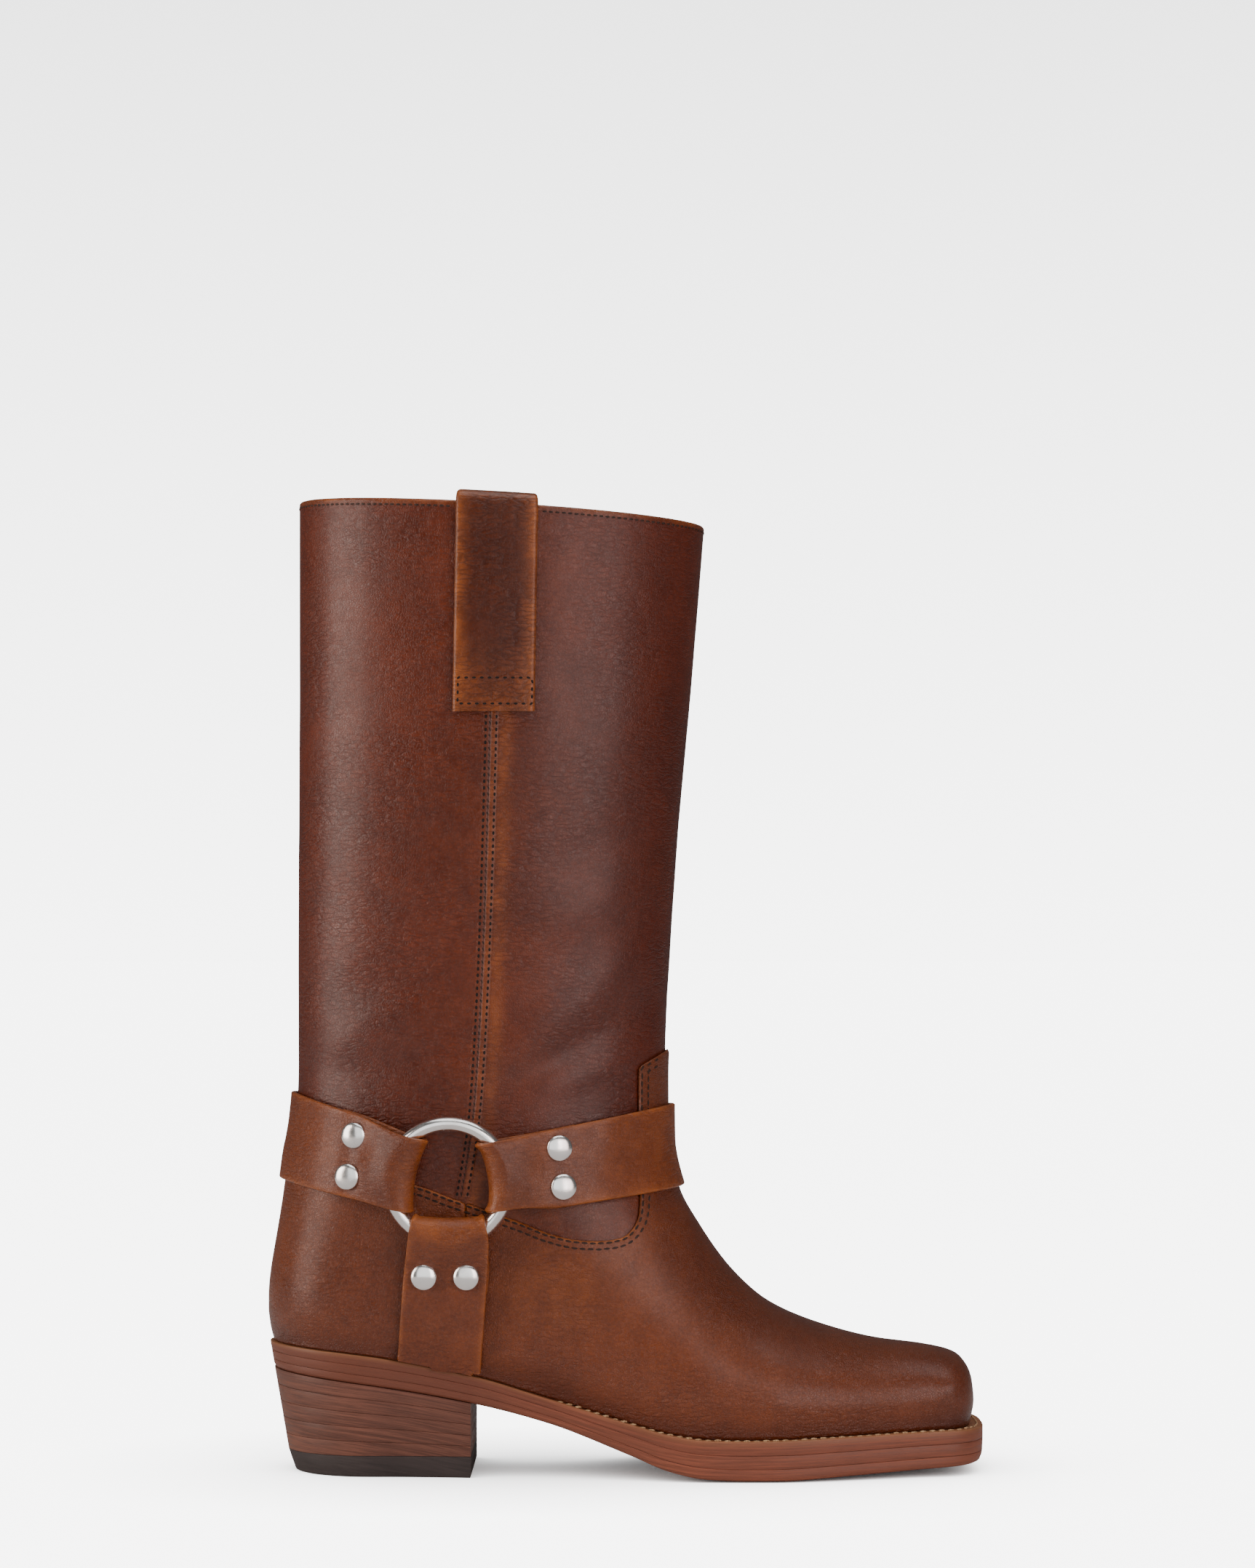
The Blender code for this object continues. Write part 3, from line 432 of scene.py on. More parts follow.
def noise(tree, vector, scale, detail=2.0, rough=0.5):
    inputs = {"Vector": vector, "Scale": scale, "Detail": detail, "Roughness": rough}
    return node(tree, "ShaderNodeTexNoise", inputs).outputs[0]


def cracks(tree, vector, scale, width):
    """0 along the borders of Voronoi cells, and 1 from a width inside them."""
    cells = node(tree, "ShaderNodeTexVoronoi", {"Vector": vector, "Scale": scale}, feature="DISTANCE_TO_EDGE")
    return ramp(tree, cells.outputs["Distance"], 0.0, width)


def bump(tree, height, strength, distance):
    inputs = {"Height": height, "Strength": strength, "Distance": distance}
    return node(tree, "ShaderNodeBump", inputs).outputs[0]


def colour(red, green, blue):
    return (red, green, blue, 1.0)


def attribute(tree, name):
    return node(tree, "ShaderNodeAttribute", attribute_name=name).outputs["Fac"]


def new_group(name, inputs, outputs):
    """An empty node group with named sockets, and its first and last node."""
    group = bpy.data.node_groups.new(name, "ShaderNodeTree")
    for title, kind, default in inputs:
        socket = group.interface.new_socket(title, in_out="INPUT", socket_type=kind)
        socket.default_value = default
    for title, kind in outputs:
        group.interface.new_socket(title, in_out="OUTPUT", socket_type=kind)
    return group, node(group, "NodeGroupInput"), node(group, "NodeGroupOutput")


def use_group(tree, group, inputs):
    return node(tree, "ShaderNodeGroup", inputs, node_tree=group).outputs


def new_finish(name):
    """An empty material, its tree and its Principled shader."""
    made = bpy.data.materials.new(name)
    made.use_nodes = True
    return made, made.node_tree, made.node_tree.nodes["Principled BSDF"]


FLOAT, COLOUR = "NodeSocketFloat", "NodeSocketColor"
print("shader helpers ready")

# %% [markdown]
# ## Leather grain
#
# Full-grain leather is covered with fine cells and hair-thin wrinkles. Voronoi cells,
# pulled about by noise so that no two look alike, give the cells, and a second, flatter
# set gives the longer wrinkles that run across a pulled hide. The group puts out a
# height for the bump and a mask of the wrinkle lines for the colour.

# %% Grain group
grain_group, grain_in, grain_out = new_group(
    "grain",
    [("Cells", FLOAT, 1100.0), ("Wrinkle", FLOAT, 0.4)],
    [("Height", FLOAT), ("Lines", FLOAT)],
)
WRINKLE_STRETCH, WRINKLE_TURN = (0.42, 0.42, 1.5), (0.0, 0.12, 0.0)
CELL_HEIGHT, SPECKLE_HEIGHT, WRINKLE_DEPTH = 0.55, 0.35, 1.7


def make_grain(tree):
    place = object_place(tree)
    drift = node(tree, "ShaderNodeTexNoise", {"Vector": place, "Scale": 260.0, "Detail": 2.0})
    drift = node(tree, "ShaderNodeVectorMath", {0: drift.outputs["Color"], "Scale": 0.0022},
                 operation="SCALE")
    bent = node(tree, "ShaderNodeVectorMath", {0: place, 1: drift.outputs[0]}, operation="ADD").outputs[0]
    cells = cracks(tree, bent, grain_in.outputs["Cells"], 0.22)
    inputs = {"Vector": bent, "Rotation": WRINKLE_TURN, "Scale": WRINKLE_STRETCH}
    flat = node(tree, "ShaderNodeMapping", inputs).outputs[0]
    wrinkles = cracks(tree, flat, 380.0, 0.24)
    patches = ramp(tree, noise(tree, place, 26.0, 2.0), 0.30, 0.60)
    share = maths(tree, "MULTIPLY", patches, grain_in.outputs["Wrinkle"])
    deep = maths(tree, "MULTIPLY", maths(tree, "SUBTRACT", 1.0, wrinkles), share)
    speckle = noise(tree, place, 2400.0, 1.0)
    height = maths(tree, "MULTIPLY_ADD", speckle, SPECKLE_HEIGHT, maths(tree, "MULTIPLY", cells, CELL_HEIGHT))
    height = maths(tree, "SUBTRACT", height, maths(tree, "MULTIPLY", deep, WRINKLE_DEPTH))
    tree.links.new(height, grain_out.inputs["Height"])
    lines = maths(tree, "MULTIPLY_ADD", maths(tree, "SUBTRACT", 1.0, cells), 0.35, deep)
    tree.links.new(lines, grain_out.inputs["Lines"])


make_grain(grain_group)
print("grain:", len(grain_group.nodes), "nodes")

# %% [markdown]
# ## Burnish and painted shade
#
# The hide is dyed a warm brown and burnished by hand, so its colour drifts in clouds
# and is rubbed through to tan along edges, seams and folds. Two vertex attributes say
# where: "tan" for rubbed places and a painted sheen on the front strap, and "dark" for
# painted shade, as round the harness straps and beside their folds, and places burnished deep.

# %% Burnish group
burnish_group, burnish_in, burnish_out = new_group(
    "burnish",
    [("Tan", FLOAT, 0.0), ("Dark", FLOAT, 0.0), ("Lines", FLOAT, 0.0),
     ("Deep colour", COLOUR, colour(0.050, 0.0060, 0.0015)),
     ("Hide colour", COLOUR, colour(0.165, 0.0260, 0.0050)),
     ("Tan colour", COLOUR, colour(0.50, 0.145, 0.028))],
    [("Color", COLOUR), ("Gloss", FLOAT)],
)
CLOUD_SHARE, BLOT_SHARE, SPECK_SHARE = 0.35, 0.27, 0.38


def make_burnish(tree):
    place = object_place(tree)
    clouds = ramp(tree, noise(tree, place, 17.0, 3.0), 0.39, 0.63)
    blots = ramp(tree, noise(tree, place, 95.0, 4.0, 0.6), 0.34, 0.68)
    specks = ramp(tree, noise(tree, place, 900.0, 3.0, 0.6), 0.34, 0.66)
    tone = maths(tree, "MULTIPLY_ADD", blots, BLOT_SHARE, maths(tree, "MULTIPLY", clouds, CLOUD_SHARE))
    tone = maths(tree, "MULTIPLY_ADD", specks, SPECK_SHARE, tone)
    shade = maths(tree, "MULTIPLY_ADD", tone, 0.80, 0.22)
    base = blend(tree, shade, burnish_in.outputs["Deep colour"], burnish_in.outputs["Hide colour"])
    # Tan mixes in rubbed places and the front strap's painted sheen alike.
    rubbed = maths(tree, "MULTIPLY", burnish_in.outputs["Tan"], ramp(tree, blots, 0.0, 1.0, 0.55, 1.1))
    base = blend(tree, rubbed, base, burnish_in.outputs["Tan colour"])
    lines = maths(tree, "MULTIPLY", burnish_in.outputs["Lines"], 0.40)
    base = blend(tree, lines, base, burnish_in.outputs["Deep colour"])
    base = blend(tree, burnish_in.outputs["Dark"], base, burnish_in.outputs["Deep colour"])
    tree.links.new(base, burnish_out.inputs["Color"])
    gloss = ramp(tree, noise(tree, place, 60.0, 3.0), 0.3, 0.7, 0.30, 0.40)
    tree.links.new(gloss, burnish_out.inputs["Gloss"])


make_burnish(burnish_group)
print("burnish:", len(burnish_group.nodes), "nodes")


# %% Leather finishes
def leather(name, wrinkle, depth, **colours):
    """A burnished leather: colour from the burnish, bump from the grain, and a thin coat of wax."""
    made, tree, shader = new_finish(name)
    grain = use_group(tree, grain_group, {"Wrinkle": wrinkle})
    inputs = {"Tan": attribute(tree, "tan"), "Dark": attribute(tree, "dark"), "Lines": grain["Lines"]}
    inputs.update({title.replace("_", " ").capitalize(): value for title, value in colours.items()})
    look = use_group(tree, burnish_group, inputs)
    fill(tree, shader, {"Base Color": look["Color"], "Roughness": look["Gloss"],
                        "Normal": bump(tree, grain["Height"], depth, 0.00020),
                        "Coat Weight": 0.28, "Coat Roughness": 0.28, "Specular IOR Level": 0.42})
    return made


FOOT_COLOURS = {"hide_colour": colour(0.240, 0.055, 0.0105), "deep_colour": colour(0.085, 0.0150, 0.0032)}
LOOP_COLOURS = {"hide_colour": colour(0.20, 0.038, 0.0060), "deep_colour": colour(0.030, 0.0042, 0.0012)}
shaft_leather = leather("shaft_leather", wrinkle=0.8, depth=0.6)
foot_leather = leather("foot_leather", wrinkle=0.5, depth=1.0, **FOOT_COLOURS)
harness_leather = leather("harness_leather", wrinkle=0.6, depth=0.75, **FOOT_COLOURS)
loop_leather = leather("loop_leather", wrinkle=1.0, depth=0.5, **LOOP_COLOURS)
print("leathers made")

# %% [markdown]
# ## Lining
#
# Inside, the shaft is lined with pale, undyed pigskin. It is seen only from above, so a
# matt leather with the same grain and a mottled tan is enough.


# %% Lining finish
def bare_leather(name, dark, light):
    """Undyed leather, matt and mottled."""
    made, tree, shader = new_finish(name)
    grain = use_group(tree, grain_group, {"Cells": 900.0, "Wrinkle": 0.2})
    worn = ramp(tree, noise(tree, object_place(tree), 40.0, 4.0), 0.3, 0.7)
    fill(tree, shader, {"Base Color": blend(tree, worn, colour(*dark), colour(*light)),
                        "Roughness": ramp(tree, worn, 0.0, 1.0, 0.55, 0.75),
                        "Normal": bump(tree, grain["Height"], 0.3, 0.0003)})
    return made


lining_leather = bare_leather("lining_leather", (0.30, 0.15, 0.065), (0.44, 0.25, 0.12))
print("lining finish made")

# %% [markdown]
# ## Shaft
#
# The shaft and foot of the upper are one hollow wall. Real leather never hangs as a
# perfect cone: soft folds run across the ankle, where the leg bends. Each fold is listed
# as a soft trough or ridge along a line in side view, deepest in its middle.

# %% Folds of the shaft
Fold = namedtuple("Fold", "from_x from_z to_x to_z depth width")
FOLDS = (
    Fold(52, 160, 98, 196, 0.9, 8.0),
    Fold(50, 148, 99, 176, -0.9, 6.0),
    Fold(62, 146, 100, 158, 0.7, 5.0),
    Fold(-20, 178, 22, 196, -0.6, 8.0),
    Fold(-22, 162, 16, 176, 0.7, 7.0),
    Fold(-16, 150, 24, 158, -0.6, 6.0),
    Fold(62, 226, 104, 246, -0.5, 10.0),
    Fold(58, 206, 100, 222, 0.5, 9.0),
    Fold(-26, 232, 20, 224, 0.4, 10.0),
    Fold(66, 300, 110, 318, -0.4, 13.0),
    Fold(-24, 290, 14, 302, -0.35, 12.0),
)
MEDIAL_SHIFT = 7.0
FAR_OUT = 1000.0


def fold_height(points):
    """How far folds lift or sink the leather at each point. On the inner side they lie a little higher."""
    x, y, z = points[..., 0], points[..., 1], points[..., 2]
    z = np.where(y > centre(x), z - MEDIAL_SHIFT, z)
    lift = np.zeros(x.shape)
    for fold in FOLDS:
        way = np.array([fold.to_x - fold.from_x, fold.to_z - fold.from_z])
        along = ((x - fold.from_x) * way[0] + (z - fold.from_z) * way[1]) / (way @ way)
        aside = ((x - fold.from_x) * way[1] - (z - fold.from_z) * way[0]) / np.linalg.norm(way)
        ends = smoothstep(-0.35, 0.35, along) * (1 - smoothstep(0.65, 1.35, along))
        lift += fold.depth * np.exp(-((aside / fold.width) ** 2)) * ends
    return lift


def side_folds(side, x, z):
    """How far folds lift the leather at a place in side view, on one side."""
    return fold_height(np.stack(np.broadcast_arrays(x, side * FAR_OUT, z), axis=-1))


print("folds:", len(FOLDS))

# %% Upper
SHAFT_ROWS, FOOT_ROWS, HALF_COLUMNS = 165, 24, 120
COVERED_FROM, LINING_STEP = 8.0, 4
RIM, RIM_TURNS = WALL / 2, (30, 60, 90, 120, 150)


def seam_x(z):
    """The side seam runs down the shaft a little forward of its middle."""
    return through(z, (98, 107, 140, 199, 286, 370), (29.6, 31.5, 36.3, 39.7, 42.5, 44.6))


def rim_height(x):
    """Height of the collar, which slopes down to the front."""
    return np.interp(x, (SECTIONS[0].back_x, SECTIONS[0].front_x), (COLLAR_BACK, COLLAR_FRONT))


def make_upper():
    split = t_of(COVERED_FROM)
    rim_t = RIM / FRONT_STEPS.sum()
    places = np.concatenate([np.linspace(rim_t, split, SHAFT_ROWS), np.linspace(split, 1.0, FOOT_ROWS)[1:]])
    rows = loops(places, HALF_COLUMNS)
    normal = outward(rows)
    outer = rows + normal * fold_height(rows)[..., None]
    inner = (rows - WALL * normal)[::LINING_STEP]
    turn = np.radians(RIM_TURNS).reshape(-1, 1, 1)
    top = rows[0] - RIM * normal[0]
    rim = top + RIM * (np.cos(turn) * normal[0] + np.sin(turn) * np.array([0.0, 0.0, 1.0]))
    wall = np.concatenate([inner[::-1], rim[::-1], outer])
    points = wrapped(np.concatenate([wall, wall[:1]]))
    lined = np.zeros(points.shape[:2])
    lined[:len(inner)] = 1.0
    bm = bmesh.new()
    add_grid(bm, points, lined=lined)
    close_up(bm)
    layer = bm.verts.layers.float["lined"]
    for face in bm.faces:
        face.material_index = int(min(vert[layer] for vert in face.verts) > 0.5)
    made = piece("upper_skin", bm, shaft_leather, "upper_leather", "upper")
    made.data.materials.append(lining_leather)
    at = places_of(made)
    x, z = at[:, 0], at[:, 2]
    from_seam = x - seam_x(z)
    beside = np.exp(-(((from_seam - 5.0) / 3.0) ** 2)) * 0.32 + np.exp(-((from_seam / 26.0) ** 2)) * 0.06
    edge = 1 - smoothstep(0.6, 1.8, rim_height(x) - z)
    low = 1 - smoothstep(100.0, 118.0, z)
    mark(made, "tan", np.clip(beside + 0.55 * edge + 0.12 * low, 0.0, 1.0))
    # Painted shade darkens a band round the harness straps and the ankle creases. The shaft also darkens
    # towards its front, above the straps.
    ankle = smoothstep(100.0, 130.0, z) * (1 - smoothstep(130.0, 175.0, z))
    front = smoothstep(62.0, 112.0, x) * smoothstep(100.0, 130.0, z)
    mark(made, "dark", 0.15 * ankle + 0.25 * front)


make_upper()

# %% [markdown]
# ## Vamp and counter
#
# The vamp covers toe and instep and runs up the front as a tongue. The counter stiffens
# the heel. Both start as a sheet over the whole foot and are cut along their outline in
# side view, as a knife follows a pattern. A Boolean could cut them, but it leaves long thin
# faces. Here each edge of the grid is split where it crosses the outline, and the outside
# is deleted. Two more cuts beside the edge let it be skived thin, and Solidify then gives
# the sheet its thickness.

# %% Overlay outlines
VAMP_BACK = 33.0
COUNTER_EDGE = ((-60.0, 117.0), (-15.0, 114.5), (13.5, 110.0), (28.9, 104.5), (VAMP_BACK - GAP, 103.3))
VAMP_EDGE = (
    (VAMP_BACK, 103.2), (40.7, 100.5), (53.8, 95.8), (65.2, 91.4), (74.5, 89.3), (82.2, 88.8), (90.0, 89.6),
    (94.1, 92.3), (96.7, 97.5), (97.2, 103.2), (96.6, 136.8), (96.7, 153.5),
)
TONGUE_EDGE = ((108.4, 160.2), (125.0, 169.0))


def smooth_line(points, spacing=1.0):
    """A smooth line through a few points in side view, as evenly spaced points."""
    points = np.asarray(points, float)
    length = lengths_along(points)
    at = np.linspace(0.0, length[-1], int(length[-1] / spacing) + 1)
    return np.stack([through(at, length, points[:, 0]), through(at, length, points[:, 1])], axis=-1)


VAMP_LINE = np.concatenate([smooth_line(VAMP_EDGE), smooth_line((VAMP_EDGE[-1], *TONGUE_EDGE))[1:]])
COUNTER_LINE = smooth_line(COUNTER_EDGE)
print("vamp edge:", len(VAMP_LINE), "points, counter edge:", len(COUNTER_LINE), "points")


# %% Cut the overlays
def within_outline(outline, x, z):
    """Whether points lie in a closed outline in side view.

    A line from such a point to the front crosses the outline an odd number of times.
    """
    (x0, z0), (x1, z1) = np.asarray(outline).T, np.roll(outline, -1, axis=0).T
    x, z = x[..., None], z[..., None]
    rise = np.where(z1 == z0, 1.0, z1 - z0)
    crossed = ((z0 > z) != (z1 > z)) & (x < (x1 - x0) * (z - z0) / rise + x0)
    return crossed.sum(-1) % 2 == 1


def score(bm, layer, amount, snap=0.06):
    """Cuts a sheet's edges and faces along the line where a mark equals an amount."""
    for vert in bm.verts:
        if abs(vert[layer] - amount) < snap:
            vert[layer] = amount
    for edge in bm.edges[:]:
        one, other = edge.verts
        before, after = one[layer] - amount, other[layer] - amount
        if before * after < 0:
            vert = bmesh.utils.edge_split(edge, one, before / (before - after))[1]
            vert[layer] = amount
    bmesh.ops.connect_verts(bm, verts=[vert for vert in bm.verts if vert[layer] == amount])


OVERLAY_ROWS, OVERLAY_COLUMNS = 150, 135
OVERLAY_FROM = 3.05
SKIVED, SKIVED_OFF = (0.0, 0.5, 1.3), (0.55, 0.2, 0.0)
OVERLAY_BODY = 0.9
overlay_rows = loops(np.linspace(t_of(OVERLAY_FROM), 1.0, OVERLAY_ROWS), OVERLAY_COLUMNS)
overlay_normal = outward(overlay_rows)


def overlay(name, edge_line, outline, node_name):
    """One leather over the wall, cut along an outline and skived thin at its cut edge."""
    lift = GAP + OVERLAY + fold_height(overlay_rows)
    x, z = overlay_rows[..., 0], overlay_rows[..., 2]
    from_edge = nearest(edge_line, x, z)[0] * np.where(within_outline(outline, x, z), 1.0, -1.0)
    bm = bmesh.new()
    add_grid(bm, wrapped(overlay_rows + overlay_normal * lift[..., None]), from_edge=wrapped(from_edge))
    bmesh.ops.remove_doubles(bm, verts=bm.verts, dist=MERGE_WITHIN * MM)
    layer = bm.verts.layers.float["from_edge"]
    for amount in SKIVED:
        score(bm, layer, amount)
    outside = [face for face in bm.faces if min(vert[layer] for vert in face.verts) < 0]
    bmesh.ops.delete(bm, geom=outside, context="FACES")
    bmesh.ops.recalc_face_normals(bm, faces=bm.faces)
    middle = sum((face.calc_center_median() for face in bm.faces), Vector()) / len(bm.faces)
    if sum(face.normal.dot(face.calc_center_median() - middle) for face in bm.faces) < 0:
        bmesh.ops.reverse_faces(bm, faces=bm.faces)
    bm.normal_update()
    moves = [(vert, vert.normal * np.interp(vert[layer], SKIVED, SKIVED_OFF) * MM) for vert in bm.verts]
    for vert, move in moves:
        vert.co -= move
    made = piece(name, bm, foot_leather, "upper_leather", node_name)
    body = made.modifiers.new("thickness", "SOLIDIFY")
    body.thickness = OVERLAY_BODY * MM
    body.offset = -1.0
    at = places_of(made)
    x, z = at[:, 0], at[:, 2]
    from_edge = nearest(edge_line, x, z)[0]
    above = np.clip(z - feather(x), 0.0, None)
    edge = 0.75 * (1 - smoothstep(0.2, 1.0, from_edge)) + 0.16 * np.exp(-from_edge / 8.0)
    instep = 0.20 * np.exp(-(((x - 68.0) / 24.0) ** 2) - ((z - 70.0) / 15.0) ** 2)
    mark(made, "tan", np.clip(edge + instep, 0.0, 1.0))
    base = 0.60 * (1 - smoothstep(1.0, 9.0, above))
    heel_back = 0.15 * (1 - smoothstep(-42.0, -26.0, x))
    ridge = 0.40 * (1 - smoothstep(5.0, 26.0, nearest(FRONT_LINE, x, z)[0]))
    waist = 0.40 * np.exp(-(((x - 66.0) / 17.0) ** 2) - ((above - 11.0) / 9.0) ** 2)
    mark(made, "dark", np.clip(base + heel_back + ridge + waist, 0.0, 1.0))


BELOW, AHEAD = -10.0, 240.0
vamp_edge = np.array([(VAMP_BACK, BELOW), *VAMP_LINE])
overlay("vamp_leather", vamp_edge, [*vamp_edge, (AHEAD, VAMP_LINE[-1, 1]), (AHEAD, BELOW)], "vamp")
counter_edge = np.array([*COUNTER_LINE, (VAMP_BACK - GAP, BELOW)])
overlay("counter_leather", counter_edge, [*counter_edge, (COUNTER_EDGE[0][0], BELOW)], "counter")

# %% [markdown]
# ## Sole
#
# Welt, midsole and outsole are sheets of sole leather, glued in a stack and trimmed
# together. Each sheet is a loop of points taken round its edge: in from the middle, over
# a small rounded corner, down the edge and back under. A bevel tool could round the
# corners, but loops let the toe's lower corner be worn away more than the rest.

# %% Sole outline
CURL_WIDTH = 9.0
WELT_SHARE, MIDSOLE_SHARE, WELT_REST = 0.34, 0.67, 2.5
LIFTS, TOP_PIECE = 5, 8.0
TAPER_LENGTH, TAPER_WIDTH, TAPER_FADE = 0.108, 0.14, (0.0, 62.5)
SOLE_COLUMNS, HEEL_COLUMNS, BREAST_COLUMNS = 150, 60, 9


def sole_side(side, grow):
    """One side of the sole's outline, offset from the upper's lower edge, from toe to heel."""
    line = half_loop(1.0, side, FINE)
    way = np.gradient(line[:, :2], axis=0)
    normal = side * np.stack([way[:, 1], -way[:, 0]], axis=-1) / np.linalg.norm(way, axis=1)[:, None]
    normal[0], normal[-1] = (1.0, 0.0), (-1.0, 0.0)
    line[:, :2] += normal * np.reshape(grow(line[:, 0]), (-1, 1))
    return line


def shown(x):
    """How far the sole reaches beyond the upper's own wall."""
    return GAP + OVERLAY + sole("reveal", x)


def level(x, share):
    return sole("top", x) + (sole("bottom", x) - sole("top", x)) * share


def tapered(plan, z):
    """Outline points drawn in towards the heel's breast with their depth below the heel seat."""
    drop = np.clip((HEEL_SEAT - z) / HEEL_SEAT, 0.0, 1.0)
    behind = np.clip(BREAST_X - plan[:, 0], 0.0, None)
    fade = 1 - smoothstep(*TAPER_FADE, plan[:, 0])
    x = plan[:, 0] + behind * TAPER_LENGTH * drop
    return np.stack([x, plan[:, 1] * (1 - TAPER_WIDTH * drop * fade), z], axis=-1)


def both_sides(sides, columns):
    """Both sides of an outline cut at the same places along the boot."""
    x = spaced(sides[0], columns, 0.45)[:, 0]
    return [np.column_stack([x, np.interp(x, side[::-1, 0], side[::-1, 1])]) for side in sides]


def sole_loop(inset):
    """A loop inside the sole's edge: toe, lateral side, heel, medial side."""
    sides = [sole_side(side, lambda x: shown(x) - inset(x)) for side, label in SIDES]
    lateral, medial = both_sides(sides, SOLE_COLUMNS)
    return np.concatenate([lateral, medial[-2:0:-1]])


def heel_loop(inset):
    """A loop inside the heel's edge: from the breast round the back, and across the breast."""
    sides = []
    for side, label in SIDES:
        line = sole_side(side, lambda x: shown(x) - inset(x))
        breast = BREAST_X - inset(np.array(BREAST_X))
        start = np.argmax(line[:, 0] < breast)
        before, after = line[start - 1], line[start]
        corner = before + (after - before) * (breast - before[0]) / (after[0] - before[0])
        sides.append(np.concatenate([[corner], line[start:]]))
    lateral, medial = both_sides(sides, HEEL_COLUMNS)
    across = np.linspace(medial[0], lateral[0], BREAST_COLUMNS)[1:-1]
    return np.concatenate([lateral, medial[-2::-1], across])


print("sole: edge", round(float(shown(150.0)), 1), "mm beyond the wall")

# %% [markdown]
# ## Sole edge finish
#
# A cut edge of sole leather shows its fibres as fine streaks along the sheet. The streaks
# must follow the sole's slope from heel to toe, so they are read from an attribute that
# holds each vertex's depth below the sole's top, not from its height above the floor.

# %% Streak group
streak_group, streak_in, streak_out = new_group(
    "streaks", [("Fineness", FLOAT, 1.0)], [("Streaks", FLOAT), ("Height", FLOAT)])


def make_streaks(tree):
    place = object_place(tree)
    split = node(tree, "ShaderNodeSeparateXYZ", {0: place}).outputs
    depth = maths(tree, "MULTIPLY", attribute(tree, "depth"), streak_in.outputs["Fineness"])
    along, aside = (maths(tree, "MULTIPLY", split[axis], 15.0) for axis in (0, 1))
    fibres = node(tree, "ShaderNodeCombineXYZ", {0: along, 1: aside, 2: depth}).outputs[0]
    coarse = noise(tree, fibres, 1.5, 4.0, 0.65)
    fine = noise(tree, fibres, 5.5, 3.0, 0.6)
    both = maths(tree, "MULTIPLY_ADD", fine, 0.5, maths(tree, "MULTIPLY", coarse, 0.5))
    tree.links.new(ramp(tree, both, 0.36, 0.64), streak_out.inputs["Streaks"])
    pits = noise(tree, place, 900.0, 2.0)
    tree.links.new(maths(tree, "MULTIPLY_ADD", pits, 0.3, both), streak_out.inputs["Height"])


make_streaks(streak_group)
print("streaks:", len(streak_group.nodes), "nodes")


# %% Sole finishes
# Colour that the tan mark mixes into a sole edge. Only the welt's top rim is marked: a painted highlight where
# it faces up.
SOLE_TOP_HIGHLIGHT = colour(0.42, 0.20, 0.08)


def stacked_leather(name, dark, light, fineness=1.0, roughness=(0.42, 0.62), depth=0.35):
    """A cut and stained edge, streaked along its layers."""
    made, tree, shader = new_finish(name)
    streaks = use_group(tree, streak_group, {"Fineness": fineness})
    clouds = ramp(tree, noise(tree, object_place(tree), 30.0, 3.0), 0.3, 0.7)
    base = blend(tree, streaks["Streaks"], colour(*dark), colour(*light))
    shaded = maths(tree, "MAXIMUM", maths(tree, "MULTIPLY", clouds, 0.45), attribute(tree, "dark"))
    worn = blend(tree, shaded, base, colour(*dark))
    fill(tree, shader, {"Base Color": blend(tree, attribute(tree, "tan"), worn, SOLE_TOP_HIGHLIGHT),
                        "Roughness": ramp(tree, streaks["Streaks"], 0.0, 1.0, *roughness),
                        "Normal": bump(tree, streaks["Height"], depth, 0.0003)})
    return made


sole_edge = stacked_leather("sole_edge", (0.17, 0.054, 0.029), (0.36, 0.108, 0.056))
heel_stack = stacked_leather("heel_stack", (0.10, 0.038, 0.024), (0.25, 0.10, 0.064), 0.7)
heel_rubber = stacked_leather("heel_rubber", (0.030, 0.022, 0.021), (0.060, 0.047, 0.045), fineness=0.3,
                              roughness=(0.55, 0.7), depth=0.2)
print("sole finishes made")


# %% Sole layers
Rim = namedtuple("Rim", "inset worn height")
CORNER, WELT_CORNER = (0.16, 0.05, 0.0), (0.5, 0.15, 0.0)
RUBBER_CORNER, ROUNDED = (0.6, 0.18, 0.0), (1.4, 0.41, 0.0)
HAIRLINE = 0.06


def stack(name, loop, rims, columns, finish, slot, replaced, ring=False):
    """A layer made of loops, from its top over its edge to its underside."""
    rows = []
    for rim in rims:
        plan = loop(lambda x: rim.inset + rim.worn(x))
        rows.append(tapered(plan, rim.height(plan[:, 0])))
    rows = np.stack(rows)
    if ring:
        rows = np.concatenate([rows, rows[:1]])
    else:
        pairs = (2 * columns - np.arange(rows.shape[1])) % rows.shape[1]
        rows = capped(rows, pairs)
    bm = bmesh.new()
    add_grid(bm, wrapped(rows))
    close_up(bm)
    made = piece(name, bm, finish, slot, replaced)
    at = places_of(made)
    mark(made, "depth", sole("top", at[:, 0]) - at[:, 2])
    return made


def unworn(x):
    return 0.0 * x


def edge_rims(top, bottom, worn_top=unworn, worn=unworn, reach=8.0, top_corner=CORNER, low_corner=CORNER):
    """Loops over a layer's edge, with rounded corners at top and bottom."""
    wide, mid, none = top_corner
    low_wide, low_mid, none = low_corner
    return [
        Rim(reach, worn_top, top), Rim(wide, worn_top, top),
        Rim(mid, worn_top, lambda x: top(x) - mid), Rim(none, worn_top, lambda x: top(x) - wide),
        Rim(none, lambda x: (worn_top(x) + worn(x)) / 2, lambda x: (top(x) + bottom(x)) / 2),
        Rim(none, worn, lambda x: bottom(x) + low_wide), Rim(low_mid, worn, lambda x: bottom(x) + low_mid),
        Rim(low_wide, worn, bottom), Rim(reach, worn, bottom),
    ]


def worn_toe(amount):
    return lambda x: amount * smoothstep(206.0, 226.0, x)


def sole_height(share, lift=0.0):
    return lambda x: level(x, share) + lift


def welt_inner(x):
    return shown(x) + WELT_REST


